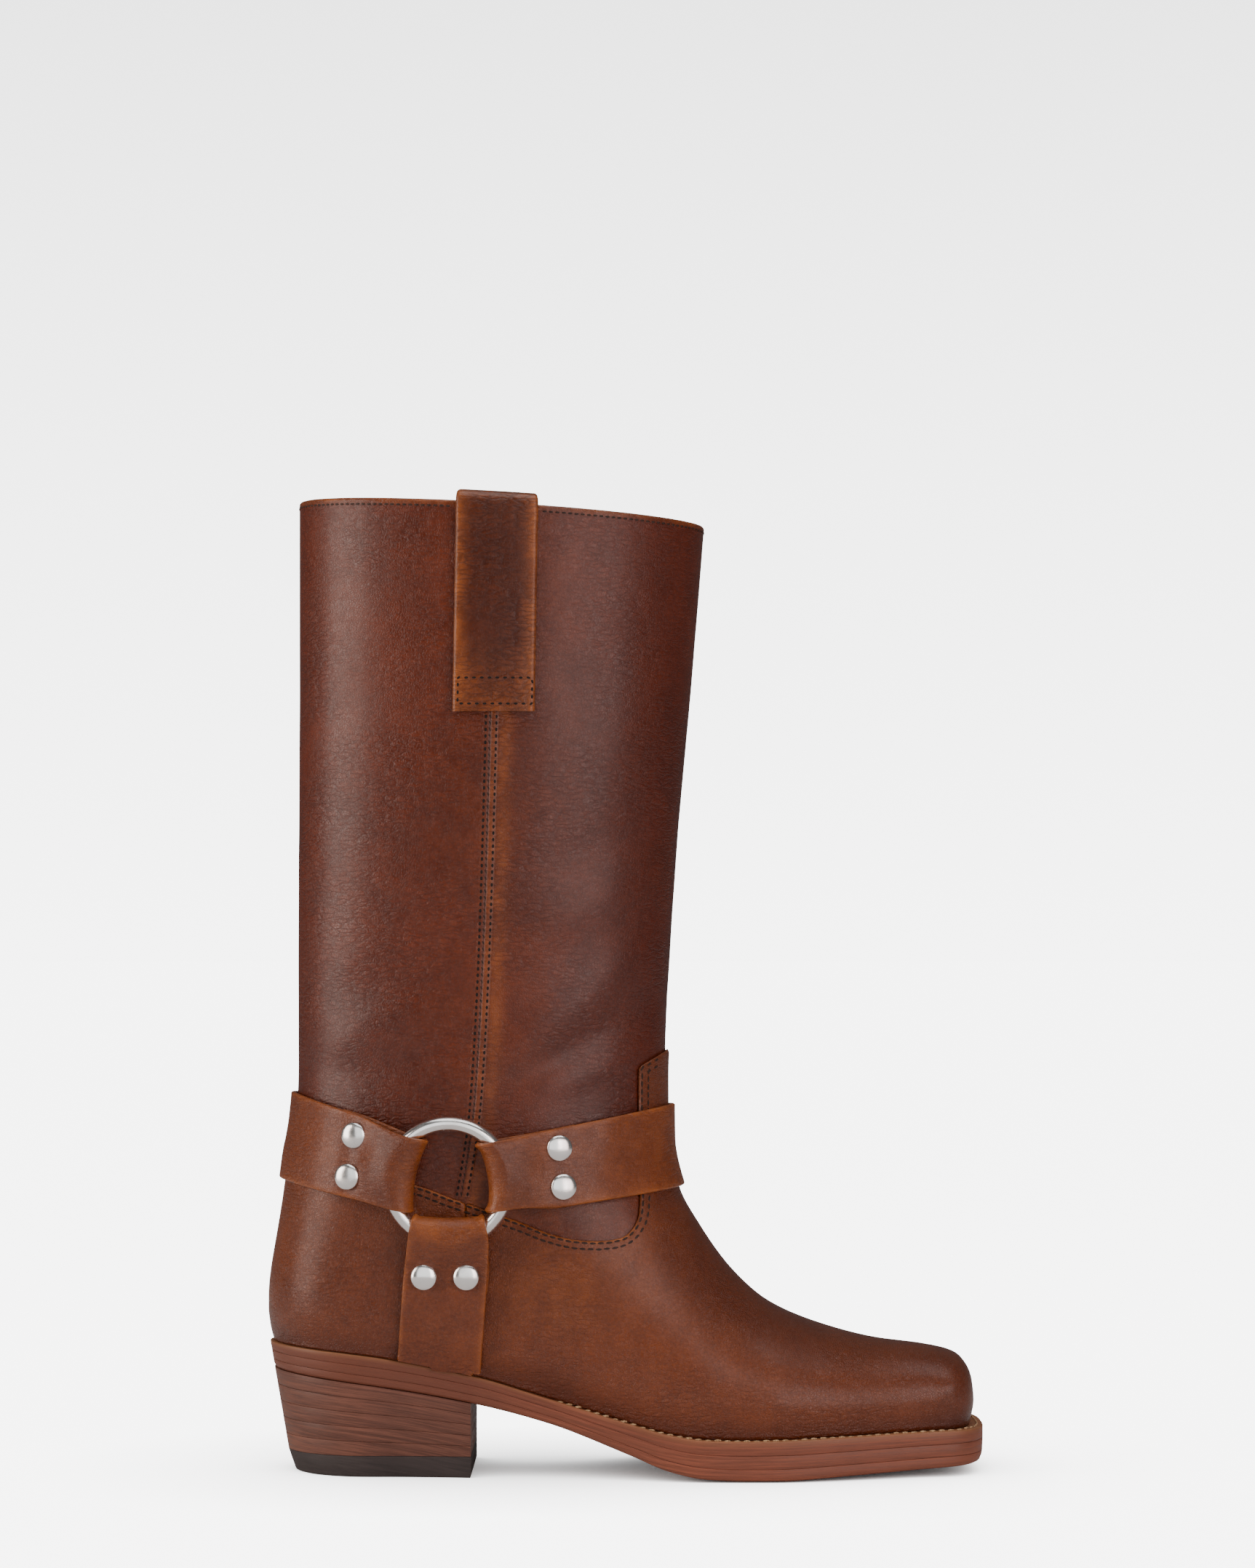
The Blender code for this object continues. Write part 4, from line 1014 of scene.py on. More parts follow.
welt_top, welt_bottom = sole_height(0.0), sole_height(WELT_SHARE)
welt_rims = edge_rims(welt_top, welt_bottom, top_corner=WELT_CORNER)
welt_rims[0] = Rim(0.0, welt_inner, welt_top)
welt_rims[-1] = Rim(0.0, welt_inner, welt_bottom)
welt = stack("welt_strip", sole_loop, welt_rims, SOLE_COLUMNS, sole_edge, "sole_leather", "welt", ring=True)
midsole_rims = edge_rims(sole_height(WELT_SHARE, -HAIRLINE), sole_height(MIDSOLE_SHARE), worn=worn_toe(0.2))
midsole = stack("midsole_runner", sole_loop, midsole_rims, SOLE_COLUMNS, sole_edge, "sole_leather", "midsole")
outsole_rims = edge_rims(sole_height(MIDSOLE_SHARE, -HAIRLINE), lambda x: level(x, 1.0) + sole("curl", x) / 2,
                         worn_toe(0.2), worn_toe(0.9), low_corner=ROUNDED)
outsole_rims[-1] = Rim(CURL_WIDTH, unworn, sole_height(1.0))
outsole = stack("outsole_leather", sole_loop, outsole_rims, SOLE_COLUMNS, sole_edge, "sole_leather",
                "outsole")
# The welt's top rim is painted lighter where it faces up: a painted highlight.
for made, lit in ((welt, 0.5), (midsole, 0.0), (outsole, 0.0)):
    at = places_of(made)
    top_rim = 1 - smoothstep(0.1, 0.9, sole("top", at[:, 0]) - at[:, 2])
    mark(made, "tan", lit * top_rim)
    mark(made, "dark", 0.85 * (1 - smoothstep(30.0, 80.0, at[:, 0])))

# %% [markdown]
# ## Heel
#
# The heel is a stack of leather lifts over a rubber top piece, tapering towards the floor.
# Each lift keeps its own rounded edge, so thin dark lines show between them.


# %% Heel lifts
HEEL_REACH = 6.0


def lift_height(count, drop=0.0):
    return lambda x: sole("bottom", x) + (TOP_PIECE - sole("bottom", x)) * count / LIFTS - drop


def worn_back(amount):
    return lambda x: amount * smoothstep(-24.0, -44.0, x)


for count in range(LIFTS):
    rims = edge_rims(lift_height(count, HAIRLINE), lift_height(count + 1), reach=HEEL_REACH)
    stack(f"lift_{count + 1}", heel_loop, rims, HEEL_COLUMNS, heel_stack, "sole_leather",
          f"heel_lift_{count + 1}")
rims = edge_rims(lambda x: TOP_PIECE - HAIRLINE + 0.0 * x, unworn, worn=worn_back(1.6), reach=HEEL_REACH,
                 low_corner=RUBBER_CORNER)
stack("top_piece", heel_loop, rims, HEEL_COLUMNS, heel_rubber, "heel_rubber", "heel_top_piece")

# %% [markdown]
# ## Harness straps
#
# Four straps are folded round the two rings and riveted. Each strap is a ribbon: rows of
# points across the strap, given a face, a back and two rounded edges. The rows follow the
# boot's own surface, so a strap lies on the leather without being pushed into it. A few
# rows set the form, and a smooth curve through them gives the rest.

# %% Straps on the boot
RING_X, RING_Z = 27.0, 111.8
RING_RADIUS, WIRE_RADIUS = 21.8, 2.7
FOLD_CLEAR, FOLD_BOW, SIDE_FOLD_BOW, FOLD_NARROWED = 0.8, 2.0, 1.0, 0.95
SEAT, SEAT_OVERLAY, SIDE_SEAT = (1.9, 1.9, 1.4, 0.9, 0.5), 1.9, 2.3
ACROSS = np.linspace(0.0, 1.0, 17)
SEAT_LINE = through(ACROSS, np.linspace(0.0, 1.0, len(SEAT)), SEAT)
FOLD_HEIGHT = WIRE_RADIUS + FOLD_CLEAR + STRAP / 2
RING_LIFT = SIDE_SEAT + STRAP / 2 + FOLD_HEIGHT
RoundStrap = namedtuple(
    "RoundStrap", "name middle low_ring top_ring low_middle top_middle fold_at rise rivet_at rivet_lean")
ROUND_STRAPS = (
    RoundStrap("strap_back", 180.0, 97.5, 126.8, 110.4, 143.6, 10.3, 12.0, 14.5, 2.1),
    RoundStrap("strap_front", 0.0, 96.5, 123.7, 107.0, 139.0, 12.6, 8.6, 18.6, 0.0),
)
TONGUE_ANGLE = 46.0
SIDE_WIDTH, SIDE_LEAN = 31.5, -0.085
SIDE_FOLD_WIDTHS = (25.7, 25.7, 26.0, 27.0, 28.5, 29.5)
SIDE_FOLD_AT, SIDE_RIVET_AT, SIDE_FOOT = 12.1, 13.9, 0.5
Layer = namedtuple("Layer", "from_rivet lift")
OUTER_LAYER = (Layer(0.0, 4.0), Layer(6.0, 3.7), Layer(12.0, 3.0), Layer(19.0, 2.0), Layer(26.0, 1.3),
               Layer(34.0, 1.0))
INNER_LAYER = (Layer(6.5, 1.0), Layer(-4.0, 1.5))
FOLD_ANGLES = (-90, -45, 0, 45, 90, 135)
BODY_STEPS, SIDE_STEPS = 9, 6


def around(angle, z, lift):
    """A point over the ankle at an angle from the front: 90 is lateral, 180 the back, 270 medial."""
    angle, z, lift = np.broadcast_arrays(np.asarray(angle, float), z, lift)

    def wall_point(at_angle, at_z):
        turn = np.radians(at_angle)
        front, back = line_x(FRONT_LINE, at_z), line_x(BACK_LINE, at_z)
        x = (front + back) / 2 + (front - back) / 2 * np.cos(turn)
        lateral, medial = half_width(x, at_z, LATERAL), half_width(x, at_z, MEDIAL)
        width = np.where(np.sin(turn) > 0, -lateral, medial)
        on_middle = np.abs(np.sin(turn)) < 1e-6
        return np.stack([x, centre(x) + np.where(on_middle, 0.0, width), at_z], axis=-1)

    step_angle, step_z = 1.5, 1.0
    along = wall_point(angle + step_angle, z) - wall_point(angle - step_angle, z)
    up = wall_point(angle, z + step_z) - wall_point(angle, z - step_z)
    normal = unit(np.cross(up, along))
    return wall_point(angle, z) + normal * lift[..., None]


print("straps: ring plane", round(RING_LIFT, 1), "mm off the wall")

# %% Rings and folds
Ring = namedtuple("Ring", "middle forward up normal")


def ring_frame(side):
    """The ring's centre and its plane, laid against the boot's side."""
    at = on_side(side, RING_X, RING_Z, RING_LIFT)
    normal = on_side(side, RING_X, RING_Z, RING_LIFT + 1.0) - at
    forward = unit(np.cross(np.cross(normal, (1.0, 0.0, 0.0)), normal))
    up = np.cross(forward, normal) * -side
    return Ring(at, forward, up if up[2] > 0 else -up, normal)


def fold(ring, out, cross, widths, fold_at, bow):
    """Rows of a strap folded round the ring's wire, from its inner to its outer layer."""
    rows = []
    for angle, width in zip(np.radians(FOLD_ANGLES), widths):
        offset = (ACROSS - 0.5) * width
        wire = np.sqrt(RING_RADIUS**2 - offset**2)
        edge = fold_at + bow * (1 - (2 * ACROSS - 1) ** 2)
        clear = (WIRE_RADIUS + FOLD_CLEAR) * RING_RADIUS / wire
        inside = np.maximum(wire - edge - STRAP / 2, clear + STRAP / 2)
        at = wire - (inside if np.cos(angle) > 0 else FOLD_HEIGHT) * np.cos(angle)
        height = ring.normal * FOLD_HEIGHT * np.sin(angle)
        rows.append(ring.middle + np.outer(at, out) + np.outer(offset, cross) + height)
    return rows


def seat(angle):
    """Height of a round strap's underside above the upper, across the strap."""
    from_front = np.degrees(np.arccos(np.cos(np.radians(angle))))
    on_tongue = 1 - smoothstep(TONGUE_ANGLE, TONGUE_ANGLE + 12, from_front)
    return SEAT_LINE + (SEAT_OVERLAY - SEAT_LINE) * on_tongue


# %% Round strap rows
FRONT_AT_RING, BACK_AT_RING = line_x(FRONT_LINE, RING_Z), line_x(BACK_LINE, RING_Z)
RING_SHARE = (2 * RING_X - FRONT_AT_RING - BACK_AT_RING) / (FRONT_AT_RING - BACK_AT_RING)
RING_ANGLE = np.degrees(np.arccos(RING_SHARE))


def round_strap_point(strap, angle, across, lift):
    from_middle = RING_SHARE - np.cos(np.radians(strap.middle))
    share = (RING_SHARE - np.cos(np.radians(angle))) / from_middle
    low = strap.low_ring + (strap.low_middle - strap.low_ring) * share
    top = strap.top_ring + (strap.top_middle - strap.top_ring) * share
    return around(angle, low + (top - low) * across, lift)


def strap_angles(strap, distances):
    """Angles at distances along a round strap from the ring's centre, on the lateral side."""
    angles = np.linspace(RING_ANGLE, strap.middle, FINE)
    path = round_strap_point(strap, angles, 0.5, 0.0)
    return np.interp(distances, lengths_along(path), angles)


def half_strap(strap, side):
    """Rows of a round strap's half on one side, from the end of its inner layer to the boot's middle."""
    def row(angle, lift):
        turned = angle if side == LATERAL else 360.0 - angle
        return round_strap_point(strap, turned, ACROSS, seat(angle) + lift)

    def layer(rows):
        distances = [RING_RADIUS + strap.rivet_at + entry.from_rivet for entry in rows]
        return [row(angle, entry.lift) for angle, entry in zip(strap_angles(strap, distances), rows)]

    ring = ring_frame(side)
    forwards = np.sign(90.0 - strap.middle)
    rise = np.radians(strap.rise)
    out = ring.forward * forwards * np.cos(rise) + ring.up * np.sin(rise)
    cross = ring.up * np.cos(rise) - ring.forward * forwards * np.sin(rise)
    width = (strap.top_ring - strap.low_ring) * FOLD_NARROWED
    turned_over = fold(ring, out, cross, [width] * len(FOLD_ANGLES), strap.fold_at, FOLD_BOW)
    doubled = layer(INNER_LAYER) + turned_over + layer(OUTER_LAYER)
    last = strap_angles(strap, RING_RADIUS + strap.rivet_at + OUTER_LAYER[-1].from_rivet)
    body = np.linspace(last, strap.middle, BODY_STEPS + 1)[1:]
    return doubled + [row(angle, OUTER_LAYER[-1].lift) for angle in body]


# %% Ribbon with rounded edges
EDGE_TURNS = np.radians((60, 30, 0, -30, -60))
FINER = 5


def finer(rows):
    """More rows between rows, on a smooth curve through them."""
    gaps = np.linalg.norm(np.diff(rows, axis=0), axis=-1).mean(axis=-1)
    place = np.concatenate([[0.0], np.cumsum(gaps)])
    slope = np.gradient(rows, place, axis=0)
    made = []
    for i, gap in enumerate(gaps):
        for u in np.arange(FINER) / FINER:
            made.append(rows[i] * (1 + 2 * u) * (1 - u) ** 2 + rows[i + 1] * u * u * (3 - 2 * u)
                        + gap * (slope[i] * u * (1 - u) ** 2 - slope[i + 1] * u * u * (1 - u)))
    return np.stack([*made, rows[-1]])


def finer_marks(values):
    return np.interp(np.arange((len(values) - 1) * FINER + 1) / FINER, np.arange(len(values)), values)


NARROW_RUB, WIDE_RUB = (0.42, 0.1, 0.0, 0.0), (0.9, 0.75, 0.42, 0.15)
EDGE_RUB, RUBBED_TAN = 0.65, 0.8


def ribbon(bm, middle, thickness, edge, tan, dark, rub=NARROW_RUB):
    """A strap with a face, a back and rounded edges. The marks are given by row, and edges are rubbed."""
    normal = unit(np.cross(np.gradient(middle, axis=0), np.gradient(middle, axis=1))) * thickness / 2
    inward = [unit(middle[:, 1] - middle[:, 0]) * edge, unit(middle[:, -2] - middle[:, -1]) * edge]
    flat = middle.copy()
    flat[:, 0] += inward[0]
    flat[:, -1] += inward[1]

    def rounded(end, turns):
        turned = [middle[:, end] + inward[end] * (1 - np.cos(a)) + normal[:, end] * np.sin(a) for a in turns]
        return np.stack(turned, axis=1)

    rows = np.concatenate([flat + normal, rounded(-1, EDGE_TURNS), (flat - normal)[:, ::-1],
                           rounded(0, EDGE_TURNS[::-1])], axis=1)
    count = middle.shape[1]
    pairs = (2 * count + len(EDGE_TURNS) - 1 - np.arange(rows.shape[1])) % rows.shape[1]
    rows = capped(rows, pairs)
    from_edge = np.minimum(np.arange(count), np.arange(count)[::-1])
    face = np.interp(from_edge, (0, 1, 2, 3, 4), (*rub, 0.0))
    edges = np.full(len(EDGE_TURNS), EDGE_RUB)
    rubbed = np.concatenate([face, edges, face, edges])
    tan, dark = (np.concatenate([rows_of[:1], rows_of, rows_of[-1:]])[:, None] for rows_of in (tan, dark))
    add_grid(bm, wrapped(rows), tan=wrapped(np.clip(tan + RUBBED_TAN * rubbed, 0.0, 1.0)),
             dark=wrapped(dark * (1 - rubbed)))


# %% Make the straps
STRAP_EDGE = 0.7
FOLD_RUBBED = (0.0, 0.0, 0.1, 0.3, 0.42, 0.38, 0.16, 0.04, 0.04, 0.03, 0.02, 0.02, 0.02, 0.0)
SIDE_RUBBED = 1.5
# The front strap is painted lighter all along its body: a painted sheen where the right softbox's broad
# highlight falls.
STRAP_SHEEN = {"strap_front": 0.15, "strap_back": 0.0}
FOLD_SHADED = (0.3, 0.3, 0.3, 0.3, 0.15, 0.0, 0.4, 0.35, 0.0, 0.0, 0.0, 0.0, 0.0, 0.0)
RIVET_ACROSS = (0.25, 0.75)
RIVET_CLEAR = 0.45
rivet_stands = []

for strap in ROUND_STRAPS:
    lateral, medial = half_strap(strap, LATERAL), half_strap(strap, MEDIAL)
    marks = [np.concatenate([values, np.zeros(BODY_STEPS)]) for values in (FOLD_RUBBED, FOLD_SHADED)]
    rubbed, shaded = (finer_marks(np.concatenate([values, values[-2::-1]])) for values in marks)
    # The front strap's painted sheen is added to its rubbed tan.
    rubbed = rubbed + STRAP_SHEEN[strap.name]
    bm = bmesh.new()
    ribbon(bm, finer(np.stack(lateral + medial[-2::-1])), STRAP, STRAP_EDGE, rubbed, shaded)
    close_up(bm)
    piece(strap.name + "_leather", bm, harness_leather, "strap_leather", strap.name)
    for side, label in SIDES:
        for across in RIVET_ACROSS:
            angle = strap_angles(strap, RING_RADIUS + strap.rivet_at + strap.rivet_lean * (0.5 - across))
            turned = angle if side == LATERAL else 360.0 - angle
            under = np.interp(across, ACROSS, seat(angle)) + OUTER_LAYER[0].lift + STRAP / 2 + RIVET_CLEAR
            rivet_stands.append([round_strap_point(strap, turned, across, under + up) for up in (0.0, 1.0)])


# %% Side straps
def side_strap_point(side, distance, across, lift):
    """A point over the upper on a side strap, at a distance below the ring's centre."""
    x = RING_X + SIDE_LEAN * (distance - RING_RADIUS) + (across - 0.5) * SIDE_WIDTH
    return on_side(side, x, np.maximum(RING_Z - distance, feather(x) + SIDE_FOOT), lift)


def side_strap_rows(side):
    def row(distance, lift):
        return side_strap_point(side, distance, ACROSS, SIDE_SEAT + lift)

    def layer(rows):
        return [row(RING_RADIUS + SIDE_RIVET_AT + entry.from_rivet, entry.lift) for entry in rows]

    ring = ring_frame(side)
    turned_over = fold(ring, -ring.up, ring.forward, SIDE_FOLD_WIDTHS, SIDE_FOLD_AT, SIDE_FOLD_BOW)
    last = OUTER_LAYER[-1]
    single = RING_RADIUS + SIDE_RIVET_AT + last.from_rivet
    lowest = RING_Z - feather(RING_X - SIDE_WIDTH / 2)
    foot = [row(distance, last.lift) for distance in np.linspace(single, lowest, SIDE_STEPS)[1:]]
    return layer(INNER_LAYER) + turned_over + layer(OUTER_LAYER) + foot + [row(RING_Z, last.lift)]


for side, label in SIDES:
    rows = side_strap_rows(side)
    rubbed = np.zeros(len(rows))
    rubbed[:len(FOLD_RUBBED)] = SIDE_RUBBED * np.asarray(FOLD_RUBBED)
    bm = bmesh.new()
    ribbon(bm, finer(np.stack(rows)), STRAP, STRAP_EDGE, finer_marks(rubbed), finer_marks(0.0 * rubbed))
    close_up(bm)
    piece(f"strap_side_{label}_leather", bm, harness_leather, "strap_leather", f"strap_side_{label}")
    for across in RIVET_ACROSS:
        under = SIDE_SEAT + OUTER_LAYER[0].lift + STRAP / 2 + RIVET_CLEAR
        at = RING_RADIUS + SIDE_RIVET_AT
        rivet_stands.append([side_strap_point(side, at, across, under + up) for up in (0.0, 1.0)])

# %% [markdown]
# ## Rings and rivets
#
# The rings are bent from round nickel wire: a circle spun about an axis. A rivet's cap is
# a dome on a short rim, also spun. One cap is made and copied to its twelve places, all
# in one mesh.

# %% Nickel
nickel, tree, shader = new_finish("nickel")
BRIGHT, SMEARED = colour(0.93, 0.92, 0.90), colour(0.80, 0.79, 0.77)
place = object_place(tree)
smears = noise(tree, place, 140.0, 4.0, 0.6)
fill(tree, shader, {"Roughness": ramp(tree, smears, 0.3, 0.7, 0.16, 0.28),
                    "Base Color": blend(tree, ramp(tree, smears, 0.35, 0.75), BRIGHT, SMEARED),
                    "Normal": bump(tree, noise(tree, place, 320.0), 0.12, 0.0003), "Metallic": 1.0})


def from_axes(x, y, z):
    """The turn that takes Blender's axes to three others."""
    return Matrix(np.stack([x, y, z], axis=1).tolist()).to_4x4()


def stand(base, axis):
    """The turn and move that stand a shape made along Z on a point."""
    z = unit(np.asarray(axis))
    x = unit(np.cross((0.0, 0.0, 1.0), z))
    return Matrix.Translation(np.asarray(base) * MM) @ from_axes(x, np.cross(z, x), z)


# %% Make the rings
WIRE_SIDES, RING_STEPS = 20, 96
for side, label in SIDES:
    bm = bmesh.new()
    wire = bmesh.ops.create_circle(bm, segments=WIRE_SIDES, radius=WIRE_RADIUS * MM)["verts"]
    upright = Matrix.Translation((RING_RADIUS * MM, 0.0, 0.0)) @ Matrix.Rotation(np.pi / 2, 4, "X")
    bmesh.ops.transform(bm, matrix=upright, verts=wire)
    bmesh.ops.spin(bm, geom=bm.verts[:] + bm.edges[:], axis=(0, 0, 1), cent=(0, 0, 0), angle=2 * np.pi,
                   steps=RING_STEPS, use_merge=True)
    ring = ring_frame(side)
    bmesh.ops.transform(bm, matrix=stand(ring.middle, ring.normal), verts=bm.verts)
    close_up(bm)
    piece(f"ring_{label}_wire", bm, nickel, "nickel", f"ring_{label}")

# %% Make the rivets
RIVET_RADIUS, RIVET_HEIGHT, RIVET_RIM = 4.9, 2.4, 0.8
RIVET_STEPS, DOME_STEPS, RIVET_BEVEL = 32, 9, 0.25
dome = [(RIVET_RADIUS * np.cos(a), RIVET_RIM + (RIVET_HEIGHT - RIVET_RIM) * np.sin(a))
        for a in np.linspace(0.0, np.pi / 2, DOME_STEPS)]
profile = [(0.0, 0.0), (RIVET_RADIUS - RIVET_BEVEL, 0.0), (RIVET_RADIUS, RIVET_BEVEL), *dome[:-1],
           (0.0, RIVET_HEIGHT)]
bm = bmesh.new()
verts = [bm.verts.new((r * MM, 0.0, z * MM)) for r, z in profile]
edges = [bm.edges.new(pair) for pair in zip(verts, verts[1:])]
bmesh.ops.spin(bm, geom=verts + edges, axis=(0, 0, 1), cent=(0, 0, 0), angle=2 * np.pi, steps=RIVET_STEPS,
               use_merge=True)
close_up(bm)
cap = bpy.data.meshes.new("rivet_cap")
bm.to_mesh(cap)
bm.clear()
for base, tip in rivet_stands:
    start = len(bm.verts)
    bm.from_mesh(cap)
    bm.verts.ensure_lookup_table()
    bmesh.ops.transform(bm, matrix=stand(base, tip - base), verts=bm.verts[start:])
rivet_nodes = [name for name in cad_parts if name.startswith("rivet_")]
piece("rivet_caps", bm, nickel, "nickel", *rivet_nodes)

# %% [markdown]
# ## Pull straps
#
# A pull strap is a doubled strip of leather folded over the collar. Its edges are rolled
# and rubbed to tan, and its middle has dried into fine cross wrinkles.

# %% Make the pull straps
PULL_FROM, PULL_TO, PULL_LEAN = 29.7, 59.8, 0.018
PULL_FOOT, PULL_INSIDE_FOOT, PULL = 286.0, 318.0, 3.0
PULL_CLEAR, PULL_EDGE, PULL_STEPS = 0.4, 1.4, 9
PULL_TURNS = (36, 72, 108, 144)
PULL_DARK, FOOT_RUBBED, TOP_RUBBED = 0.5, (0.4, 0.3, 0.1), (0.1, 0.35, 0.4, 0.4, 0.35, 0.1)


def pull_strap_rows(side):
    x = PULL_FROM + (PULL_TO - PULL_FROM) * ACROSS
    outside, inside = PULL_CLEAR + PULL / 2, -WALL - PULL_CLEAR - PULL / 2
    turn_z = rim_height(x) - PULL_CLEAR

    def leg(foot, lift):
        heights = [foot + (turn_z - foot) * share for share in np.linspace(0.0, 1.0, PULL_STEPS)]
        return [on_side(side, x - PULL_LEAN * (turn_z - z), z, lift) for z in heights]

    up, down = leg(PULL_FOOT, outside), leg(PULL_INSIDE_FOOT, inside)[::-1]
    middle, half = (up[-1] + down[0]) / 2, (up[-1] - down[0]) / 2
    rise = np.array([0.0, 0.0, (outside - inside) / 2])
    over = [middle + half * np.cos(a) + rise * np.sin(a) for a in np.radians(PULL_TURNS)]
    return up + over + down


for side, label in SIDES:
    rows = pull_strap_rows(side)
    over = np.zeros(len(rows))
    over[PULL_STEPS - 1:PULL_STEPS - 1 + len(TOP_RUBBED)] = TOP_RUBBED
    over[:len(FOOT_RUBBED)] = FOOT_RUBBED
    bm = bmesh.new()
    ribbon(bm, finer(np.stack(rows)), PULL, PULL_EDGE, finer_marks(over), finer_marks(PULL_DARK - over),
           WIDE_RUB)
    close_up(bm)
    piece(f"pull_strap_{label}_leather", bm, loop_leather, "strap_leather", f"pull_strap_{label}")

# %% [markdown]
# ## Insole
#
# The insole board is seen only down the shaft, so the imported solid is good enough. It
# gets its own procedural leather.

# %% Insole finish
insole_leather = bare_leather("insole_leather", (0.16, 0.085, 0.04), (0.30, 0.17, 0.085))
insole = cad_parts["insole"]
insole.data.materials.clear()
insole.data.materials.append(insole_leather)
print("insole finish on", insole.name)

# %% [markdown]
# ## Seams and stitches
#
# Front and back of the shaft meet in a side seam: one edge laid over the other, sewn twice.
# A stitch is a short thread that dips into the leather at both ends, so a stretched ball
# with few faces is enough. All stitches of one kind are one mesh.


# %% Stitch helpers
def evenly(line, pitch):
    """Points at an even pitch along a line."""
    length = lengths_along(line)
    at = np.arange(pitch / 2, length[-1], pitch)
    return np.stack([np.interp(at, length, line[:, k]) for k in range(line.shape[1])], axis=-1)


def beside(line, amount):
    """A line in side view moved to its right."""
    way = unit(np.gradient(line, axis=0))
    return line + amount * np.stack([way[:, 1], -way[:, 0]], axis=-1)


def add_stitches(bm, points, normals, length, width, height, slant=0.0):
    """Stretched balls along a row of points, turned by a slant about the leather's normal."""
    ways = np.gradient(points, axis=0)
    for point, way, up in zip(points, ways, normals):
        way = unit(way - up * (way @ up))
        turned = way * np.cos(slant) + np.cross(up, way) * np.sin(slant)
        shape = from_axes(np.cross(turned, up) * width / 2, up * height / 2, turned * length / 2)
        matrix = Matrix.Translation(point * MM) @ Matrix.Scale(MM, 4) @ shape
        bmesh.ops.create_uvsphere(bm, u_segments=6, v_segments=4, radius=1.0, matrix=matrix)


def on_leather(side, line, lift):
    """Points and normals on the boot's side under a line in side view."""
    low = on_side(side, line[:, 0], line[:, 1], lift)
    return low, on_side(side, line[:, 0], line[:, 1], lift + 1.0) - low


def within(line, margin):
    """Points of a line in side view that lie a margin inside the boot's front and back."""
    front, back = line_x(FRONT_LINE, line[:, 1]), line_x(BACK_LINE, line[:, 1])
    return line[(line[:, 0] < front - margin) & (line[:, 0] > back + margin)]


# %% Thread finish
def thread_finish(name, dark, light, roughness):
    made, tree, shader = new_finish(name)
    fibres = ramp(tree, noise(tree, object_place(tree), 1500.0, 3.0), 0.3, 0.7)
    twist = blend(tree, fibres, colour(*dark), colour(*light))
    fill(tree, shader, {"Base Color": twist, "Roughness": roughness})
    return made


pale_thread = thread_finish("pale_thread", (0.30, 0.17, 0.08), (0.60, 0.42, 0.24), 0.75)
brown_thread = thread_finish("brown_thread", (0.016, 0.006, 0.003), (0.05, 0.017, 0.007), 0.7)
# The needle holes are near-black blobs: painted shade inside the holes of the side seam and of the pull straps'
# box stitching.
needle_hole = thread_finish("needle_hole", (0.006, 0.003, 0.002), (0.014, 0.006, 0.004), 0.85)
print("thread finishes made")

# %% Side seam strips
SEAM_LOW, SEAM_HIGH = 105.5, 289.0
SEAM_PROFILE = (
    (-1.4, -0.15), (-0.8, 0.12), (0.0, 0.18), (0.9, 0.16), (1.45, 0.10), (1.7, -0.08), (2.0, 0.25), (2.8, 0.42),
    (3.6, 0.34), (4.4, 0.22), (5.0, -0.15),
)
SEAM_ROWS, SEAM_BACK, SEAM_SUNK = 170, 1.9, 0.25


def seam_points(side, offset, z, lift):
    """Points over the side seam, at an offset from its middle."""
    x = seam_x(z) - SEAM_BACK + offset
    return on_side(side, x, z, lift + side_folds(side, x, z))


for side, label in SIDES:
    z = np.linspace(SEAM_LOW, SEAM_HIGH, SEAM_ROWS)[:, None]
    offset, lift = np.array(SEAM_PROFILE).T
    top = seam_points(side, offset[None, :], z, lift[None, :])
    under = seam_points(side, offset[None, ::-1], z, -SEAM_SUNK)
    rows = np.concatenate([top, under], axis=1)
    tan = np.interp(offset, (-1.4, 0.0, 1.9, 2.6, 4.0, 5.0), (0.05, 0.12, 0.15, 0.36, 0.34, 0.3))
    dark = np.interp(offset, (1.2, 1.7, 2.0), (0.0, 0.9, 0.0))
    rows = capped(rows, np.arange(rows.shape[1])[::-1])
    tan, dark = (np.tile([*values, *values[::-1]], (len(rows), 1)) for values in (tan, dark))
    bm = bmesh.new()
    add_grid(bm, wrapped(rows), tan=wrapped(tan), dark=wrapped(dark))
    close_up(bm)
    piece(f"side_seam_{label}", bm, shaft_leather, "upper_leather")

